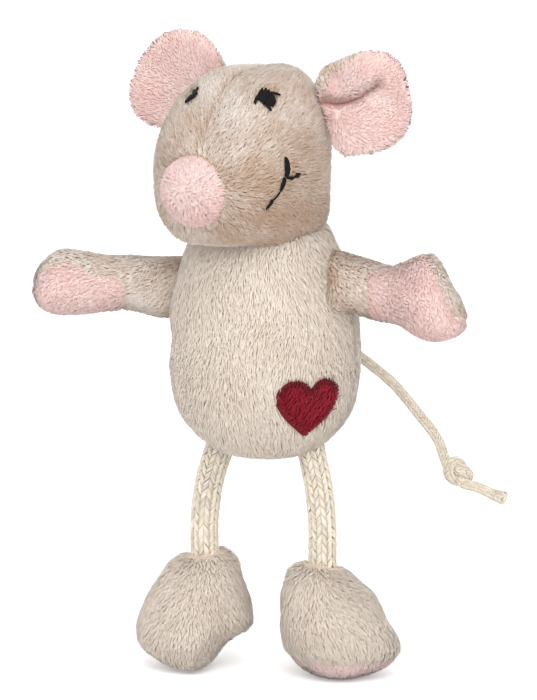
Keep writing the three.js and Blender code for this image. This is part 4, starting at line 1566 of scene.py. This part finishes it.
MOUTH_STROKES = [
    ((5.45, 131.1), (5.9, 128.2), 0.8, 1.75), ((5.85, 128.5), (5.6, 125.9), 1.7, 1.0),
    ((6.1, 125.9), (7.4, 125.8), 1.0, 0.9), ((7.9, 126.6), (8.9, 126.6), 1.5, 1.4),
    ((5.2, 125.7), (4.1, 122.6), 1.15, 0.85), ((4.2, 122.6), (1.9, 119.8), 0.2, 0.2),
    ((2.0, 120.2), (1.3, 118.9), 0.6, 0.85), ((1.35, 119.1), (0.3, 117.8), 0.8, 0.35),
]


def satin(strokes, rng, slant=0.9):
    """Short stitches side by side along thick strokes, with a few threads along them."""
    stitches = []
    for a, b, wide, thin in strokes:
        a, b = np.array(a), np.array(b)
        run = b - a
        long = np.linalg.norm(run)
        along = run / long
        over = np.array((-along[1], along[0]))
        if max(wide, thin) > 0.4:
            count = max(int(long / 0.2), 3)
            for t in (np.arange(count) + 0.5) / count:
                half = max((wide + (thin - wide) * t) / 2 - 0.1, 0.1) * rng.uniform(0.9, 1.08)
                centre = a + run * t + rng.normal(0, 0.03, 2)
                lean = over + along * slant * min(1.0, 0.6 / half)
                stitches.append((centre - lean * half, centre + lean * half))
        for lift in np.linspace(-0.3, 0.3, 3):
            stitches.append((a + over * lift * wide, b + over * lift * thin))
    return stitches


def face_threads(strokes, seed, lift):
    """Paths and outward ways of satin strokes laid on the head as the camera sees them."""
    rng = np.random.default_rng(seed)
    surface = skin_surface(needed("head_skin"))
    way = -picture_ways()[2]
    return laid_threads(satin(strokes, rng), surface, picture_point, way, lift, 0.0003)


def stroke_distance(points, strokes):
    """Distance of points, as the camera sees them, from the nearest stroke's edge in millimetres."""
    flat = as_seen(points)[:, :2]
    best = np.full(len(points), FAR)
    for a, b, wide, thin in strokes:
        a, b = np.array(a), np.array(b)
        run = b - a
        t = np.clip(((flat - a) @ run) / (run @ run), 0, 1)
        away = np.linalg.norm(flat - a - t[:, None] * run, axis=1)
        best = np.minimum(best, away - (wide + (thin - wide) * t) / 2)
    return best


class MOUSE_OT_eyes(bpy.types.Operator):
    """Stitch the eyes"""

    bl_idname = "plush_mouse.eyes"
    bl_label = "Eyes"

    def execute(self, context):
        for number, side in enumerate(SIDES):
            paths, ups = face_threads(EYE_STROKES[side], 71 + number, 0.0016 + 0.0012 * number)
            stitched(f"{side}_eye_stitches", paths, ups, f"{side}_eye", 73 + number)
        return {"FINISHED"}


def stitched(name, paths, ups, node, seed):
    """A piece of black stitches in the place of a node of the head."""
    if len(paths) < 4:
        raise RuntimeError(f"the stitches of {name} miss the head")
    rng = np.random.default_rng(seed)
    points, triangles, each = thread_arrays(paths, ups, 0.00019)
    tones = np.repeat(np.clip(rng.normal(0.5, 0.2, len(paths)), 0, 1), each)
    piece = mesh_piece(name, points, triangles, {"tone": tones})
    colour = settings("colours").line
    wear(piece, spun("black_thread_stitches", colour, 0.9, 3200, 0.5, 0.00004, gloss=0.16))
    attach(piece, "head")
    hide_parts(node)


class MOUSE_OT_mouths(bpy.types.Operator):
    """Stitch the mouths"""

    bl_idname = "plush_mouse.mouths"
    bl_label = "Mouths"

    def execute(self, context):
        paths, ups = face_threads(MOUTH_STROKES, 81, 0.0016)
        stitched("left_mouth_stitches", paths, ups, "left_mouth", 83)
        place = head_frame()
        turned = world_ways(np.eye(3), place)
        mirror = np.array((-1, 1, 1))
        own = local_points(paths.reshape(-1, 3), place) * mirror
        other = placed_points(own, place).reshape(paths.shape)
        facing = ((ups.reshape(-1, 3) @ turned.T) * mirror @ turned).reshape(ups.shape)
        stitched("right_mouth_stitches", other, facing, "right_mouth", 84)
        return {"FINISHED"}


def crease_distance(points, side):
    """Distance of ear points from the fold in the lining, in millimetres."""
    return line_distance(as_seen(points)[:, :2], np.array(EAR_CREASES[side]))


class MOUSE_OT_ears(bpy.types.Operator):
    """Sew the ears and grow their pile"""

    bl_idname = "plush_mouse.ears"
    bl_label = "Ears"

    def skin(self, side):
        """The ear's cover: a thin cup, cut off straight where it is sewn on."""
        ob = new_ball(f"{side}_ear_skin", 72, 40)
        ball = points_of(ob.data)
        angle = np.arctan2(ball[:, 1], ball[:, 0])
        share = np.sin(np.arccos(np.clip(ball[:, 2], -1, 1))) ** 0.75
        half = EAR_THICKNESS / 2 - 0.7
        middle = EAR_BASE - EAR_THICKNESS / 2
        radius = np.minimum(EAR_RADIUS, EAR_BASE / np.maximum(-np.cos(angle), 0.001)) - 0.9
        thick = half * (1 - share**6) ** 0.5 * (0.7 + 0.3 * share)
        x = middle + radius * share * np.cos(angle)
        z = radius * share * np.sin(angle)
        cup = -EAR_CUP * ((share * (1 + np.cos(angle))) / 2) ** 2
        y = cup + np.where(ball[:, 2] > 0, -thick, thick)
        put_points(ob.data, np.stack([sign_of(side) * x, y, z], 1) * MM)
        close_seams(ob)
        to_place(ob, ear_frame(side))
        grab(ob, PULLS[f"{side}_ear"])
        finish_skin(ob)
        co = points_of(ob.data)
        fold = apart(crease_distance(co, side), 1.3) * CREASE_DEPTHS[side] * MM
        put_points(ob.data, co - fold[:, None] * np.array(picture_ways()[2]))
        return ob

    def execute(self, context):
        sizes = settings("sizes")
        for number, side in enumerate(SIDES):
            s = sign_of(side)
            place = ear_frame(side)
            skin = self.skin(side)
            pull_seam(skin, inside_distance(points_of(skin.data), EAR_WRAPS[side]), 0.9, 0.35)

            def from_middle(own):
                """Distance of points from the middle of the ear's disc, in millimetres."""
                return np.hypot(own[:, 0] * s - EAR_MIDDLE, own[:, 2])

            def behind_of(points, normals):
                """True for the ear's back, its rim and the cloth that comes round to the front."""
                rim = np.clip((from_middle(local_points(points, place)) - 9.5) / 1.5, 0, 1)
                facing = normals @ np.array(place.to_3x3() @ Vector((0, -1, 0)))
                return (facing < -0.1 - 0.7 * rim) | (inside_distance(points, EAR_WRAPS[side]) > 0)

            behind = behind_of(points_of(skin.data), normals_of(skin.data))
            nodes = (f"{side}_ear_back", f"{side}_ear_lining")
            cover(skin, ("pink", "beige"), nodes, f"{side}_ear", behind)

            def lay(points, normals):
                own = local_points(points, place)
                flow = np.stack([own[:, 0] - s * 2, np.zeros(len(own)), own[:, 2]], 1)
                return world_ways(unit(flow) + (s * 0.4, 0, 0.25), place)

            def lining_tone_and_shade(points):
                own = local_points(points, place)
                # The fold darkens the lining: partly the lining's own browner colour and partly painted shade
                # in the fold.
                fold = apart(crease_distance(points, side), 1.1) * CREASE_DEPTHS[side]
                rim = np.clip((from_middle(own) - 10) / 3, 0, 1)
                base = np.clip(1 - own[:, 0] * s / 6, 0, 1)
                return 0.14 * ripple(points, 0.01, 13) - fold * 0.24 - 0.1 * base + rim * 0.05

            closeness = sizes.closeness * 1.5
            pink = Pile(sizes.body_pile * 0.6, 0.0004, closeness, 0.6, 0.25, 0.4, 1.0, 0.55, 0.25)
            beige = Pile(sizes.head_pile * 0.55, 0.00034, sizes.closeness * 1.6, 0.45, 0.2, 0.35, 0.8)
            for name, cloth, pile, front in (("lining", "pink", pink, True), ("back", "beige", beige, False)):

                def keep(points, normals):
                    own = local_points(points, place)
                    edge = (from_middle(own) > 11.6) & (inside_distance(points, EAR_WRAPS[side]) < 0)
                    return (behind_of(points, normals) != front) & (own[:, 0] * s > -1.2) & (front | ~edge)

                body, seed = f"{side}_ear", 90 + number * 2 + front
                tone = lining_tone_and_shade if front else None
                add_pile(f"{side}_ear_{name}_pile", skin, cloth, body, pile, lay, seed, keep, tone)
        return {"FINISHED"}


def palm_side(points, side):
    """How far points of an arm lie on the palm's side of its seam, in millimetres."""
    own = local_points(points, arm_frame(side))
    tilt = math.radians(PALM_TILT - 90)
    across = own[:, 1] * math.sin(-tilt) + own[:, 2] * math.cos(-tilt)
    hidden = np.minimum(-across, own[:, 0] * sign_of(side) - PALM_START)
    out = world_ways(own * (0, 1, 1), arm_frame(side)) @ np.array(picture_ways()[2])
    return np.where(out > 0, inside_distance(points, PALMS[side]), hidden)


class MOUSE_OT_arms(bpy.types.Operator):
    """Stuff the arms and grow their pile"""

    bl_idname = "plush_mouse.arms"
    bl_label = "Arms"

    def execute(self, context):
        sizes = settings("sizes")
        for number, side in enumerate(SIDES):
            s = sign_of(side)
            place = arm_frame(side)
            skin = stuffed_form(
                f"{side}_arm_skin",
                ARM_SHARES,
                (ARM_REACH, ARM_HALF_DEPTH, ARM_HALF_HEIGHT),
                ((s, 0, 0), (0, s, 0), (0, 0, 1)),
                (0, 0, 0),
                *(1.4, 48, 36),
            )
            root = points_of(skin.data)[:, 0] * s < 0
            to_place(skin, place)
            grab(skin, PULLS[f"{side}_arm"])
            swell(skin, (np.abs(palm_side(points_of(skin.data), side)) < 0.6) | root, 0.6)
            finish_skin(skin)
            pull_seam(skin, palm_side(points_of(skin.data), side), 1.0, 0.4)
            nodes = (f"{side}_arm_cover", f"{side}_palm", f"{side}_arm_stuffing")
            palm = palm_side(points_of(skin.data), side) > 0
            cover(skin, ("beige", "pink"), nodes, second=palm)
            self.join(skin, side)

            def lay(points, normals):
                away = np.full(len(points), s * 0.7)
                flow = (away, ripple(points, 0.02, 33) * 0.4, -0.5 + 0.4 * ripple(points, 0.02, 34))
                return world_ways(np.stack(flow, 1), place)

            def tone(points):
                own = local_points(points, place)
                palm = palm_side(points, side)
                # Painted shade: the pile is darker along the palm's seam and towards where the arm meets the
                # body.
                seam = apart(palm, 0.9) * 0.2 + np.clip(1 - own[:, 0] * s / 8, 0, 1) * 0.2
                dim = 0.1 * ((palm > 0) & (side == "left"))
                return 0.06 + 0.16 * ripple(points, 0.014, 35) - seam - dim

            closeness = sizes.closeness * 1.6
            long = Pile(sizes.head_pile * 0.9, 0.0004, closeness, 0.5, 0.22, 0.3, 0.9, 0.42)
            short = Pile(sizes.body_pile * 0.6, 0.00038, closeness, 0.6, 0.25, 0.4, 1.0, 0.55, 0.25)
            for name, cloth, pile, pink in (("arm", "beige", long, False), ("palm", "pink", short, True)):

                def keep(points, normals):
                    own = local_points(points, place)
                    return ((palm_side(points, side) > 0) == pink) & (own[:, 0] * s > -8)

                seed = 110 + number * 2 + pink
                piece = add_pile(f"{side}_{name}_pile", skin, cloth, None, pile, lay, seed, keep, tone)
                self.join(piece, side)
        return {"FINISHED"}

    def join(self, piece, side):
        """Bakes the piece's placement into its points."""
        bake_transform(piece)


class MOUSE_OT_feet(bpy.types.Operator):
    """Stuff the feet and grow their pile"""

    bl_idname = "plush_mouse.feet"
    bl_label = "Feet"

    def execute(self, context):
        sizes = settings("sizes")
        for number, side in enumerate(SIDES):
            place = foot_frame(side)
            skin = stuffed_form(
                f"{side}_foot_skin",
                FOOT_SHARES,
                (FOOT_HEIGHT + FOOT_FLAT, FOOT_HALF_WIDTH, FOOT_HALF_LENGTH),
                ((0, 0, 1), (1, 0, 0), (0, -1, 0)),
                (0, 0, -FOOT_FLAT),
                *(1.3, 56, 44),
            )
            own = points_of(skin.data) / MM
            own[:, 2] = np.maximum(own[:, 2], 0.55)
            put_points(skin.data, own * MM)
            sole = SOLE_LINES[side]
            swell(skin, (np.abs(own[:, 2] - sole) < 0.7) | (own[:, 2] < 0.8) | (own[:, 2] > 28), 0.7)
            to_place(skin, place)
            grab(skin, PULLS[f"{side}_foot"])
            finish_skin(skin)
            own = local_points(points_of(skin.data), place)
            own[:, 2] = np.maximum(own[:, 2], 0.4)
            put_points(skin.data, placed_points(own, place))
            pull_seam(skin, own[:, 2] - sole, 1.0, 0.4)
            nodes = (f"{side}_foot_upper", f"{side}_sole", f"{side}_foot_stuffing")
            cover(skin, ("cream", "pink"), nodes, f"{side}_foot", own[:, 2] < sole)

            def lay(points, normals):
                own = local_points(points, place)
                sway = (0.5 * ripple(points, 0.03, 43), 0.3 * ripple(points, 0.03, 44), -np.ones(len(own)))
                return world_ways(unit(own * (1, 1, 0) + 1e-6) * 0.6 + np.stack(sway, 1), place)

            def tone(points):
                own = local_points(points, place)
                # Painted shade darkens the pile along the sole's seam, and the down-facing sole is lightened
                # as painted light.
                seam = 0.2 * apart(own[:, 2] - sole, 0.8)
                return 0.12 * ripple(points, 0.016, 45) - seam + 0.4 * (own[:, 2] < sole)

            width, closeness = sizes.tuft_width * 0.9, sizes.closeness * 1.1
            long = Pile(sizes.body_pile * 0.9, width, closeness, 0.5, 0.22, 0.3, 1.0)
            short = Pile(sizes.short_pile, 0.00028, sizes.closeness * 1.5, 1.0, 0.5, 0.3, 1.2, 0.5)
            for name, cloth, pile, pink in (("foot", "cream", long, False), ("sole", "pink", short, True)):

                def keep(points, normals):
                    own = local_points(points, place)
                    hole = (np.hypot(own[:, 0], own[:, 1]) > 4.2) | (own[:, 2] < 25)
                    return ((own[:, 2] < sole) == pink) & hole

                body, seed = f"{side}_foot", 130 + number * 2 + pink
                add_pile(f"{side}_{name}_pile", skin, cloth, body, pile, lay, seed, keep, tone, floor=0.0001)
        return {"FINISHED"}


class MOUSE_OT_stage(bpy.types.Operator):
    """Set up the floor, the lamps and the plain light"""

    bl_idname = "plush_mouse.stage"
    bl_label = "Stage"

    def execute(self, context):
        stage = settings("stage")
        context.scene.view_settings.view_transform = "Standard"
        bpy.ops.object.select_all(action="DESELECT")
        bpy.ops.mesh.primitive_circle_add(vertices=96, radius=8, fill_type="NGON", location=(0, 0, 0))
        floor = context.active_object
        floor.name = floor.data.name = "floor"
        material, tree, shader = new_material("pale_floor")
        seen = add_node(tree, "LightPath", (-400, 200)).outputs["Is Camera Ray"]
        glow = add_node(tree, "Math", (-200, 100), {0: seen, 1: 0.32}, operation="MULTIPLY").outputs[0]
        feed(tree, shader, {"Base Color": (0.9, 0.9, 0.9, 1), "Roughness": 0.9, "Specular IOR Level": 0.0})
        feed(tree, shader, {"Emission Color": (1, 1, 1, 1), "Emission Strength": glow})
        wear(floor, material)
        world = bpy.data.worlds.new("plain_light")
        context.scene.world = world
        world.use_nodes = True
        tree = world.node_tree
        back = next(n for n in tree.nodes if n.type == "BACKGROUND")
        seen = add_node(tree, "LightPath", (-600, 0)).outputs["Is Camera Ray"]
        sockets = {"To Min": stage.sky, "To Max": 1.0, "Value": seen}
        strength = add_node(tree, "MapRange", (-300, 0), sockets).outputs["Result"]
        feed(tree, back, {"Color": (1, 1, 1, 1), "Strength": strength})
        middle = Vector((0, 0, 0.09))
        a = stage.azimuth
        for name, turn, height, distance, size, power in (
            ("key_lamp", 2, 44, 0.9, 0.6, stage.key),
            ("fill_lamp", 10, 4, 1.0, 0.7, stage.key * 0.35),
        ):
            angle, lift = a + math.radians(turn), math.radians(height)
            flat = math.cos(lift)
            way = Vector((math.sin(angle) * flat, -math.cos(angle) * flat, math.sin(lift)))
            data = bpy.data.lights.new(name, "AREA")
            data.size = size
            data.energy = power
            lamp = new_object(name, data)
            lamp.location = middle + way * distance
            lamp.rotation_euler = way.to_track_quat("Z", "Y").to_euler()
        return {"FINISHED"}


class MOUSE_PT_panel(bpy.types.Panel):
    """The steps and settings of the plush mouse"""

    bl_label = "Plush Mouse"
    bl_idname = "MOUSE_PT_panel"
    bl_space_type = "VIEW_3D"
    bl_region_type = "UI"
    bl_category = "Plush Mouse"

    def draw(self, context):
        for operator in STEPS:
            self.layout.operator(operator.bl_idname)
        for name, group in GROUPS.items():
            box = self.layout.box()
            for key in group.__annotations__:
                box.prop(settings(name), key)


STEPS = (
    MOUSE_OT_camera,
    MOUSE_OT_tail,
    MOUSE_OT_legs,
    MOUSE_OT_body,
    MOUSE_OT_heart,
    MOUSE_OT_head,
    MOUSE_OT_nose,
    MOUSE_OT_eyes,
    MOUSE_OT_mouths,
    MOUSE_OT_ears,
    MOUSE_OT_arms,
    MOUSE_OT_feet,
    MOUSE_OT_stage,
)
GROUPS = {"sizes": PlushSizes, "colours": PlushColours, "cords": CordSizes, "stage": StageSettings}


def register():
    for group in GROUPS.values():
        bpy.utils.register_class(group)
    for name, group in GROUPS.items():
        setattr(bpy.types.Scene, "mouse_" + name, bpy.props.PointerProperty(type=group))
    for operator in STEPS:
        bpy.utils.register_class(operator)
    bpy.utils.register_class(MOUSE_PT_panel)


def unregister():
    bpy.utils.unregister_class(MOUSE_PT_panel)
    for operator in reversed(STEPS):
        bpy.utils.unregister_class(operator)
    for name in GROUPS:
        delattr(bpy.types.Scene, "mouse_" + name)
    for group in reversed(GROUPS.values()):
        bpy.utils.unregister_class(group)


def main():
    register()
    for operator in STEPS:
        group, name = operator.bl_idname.split(".")
        getattr(getattr(bpy.ops, group), name)()


if __name__ == "__main__":
    main()
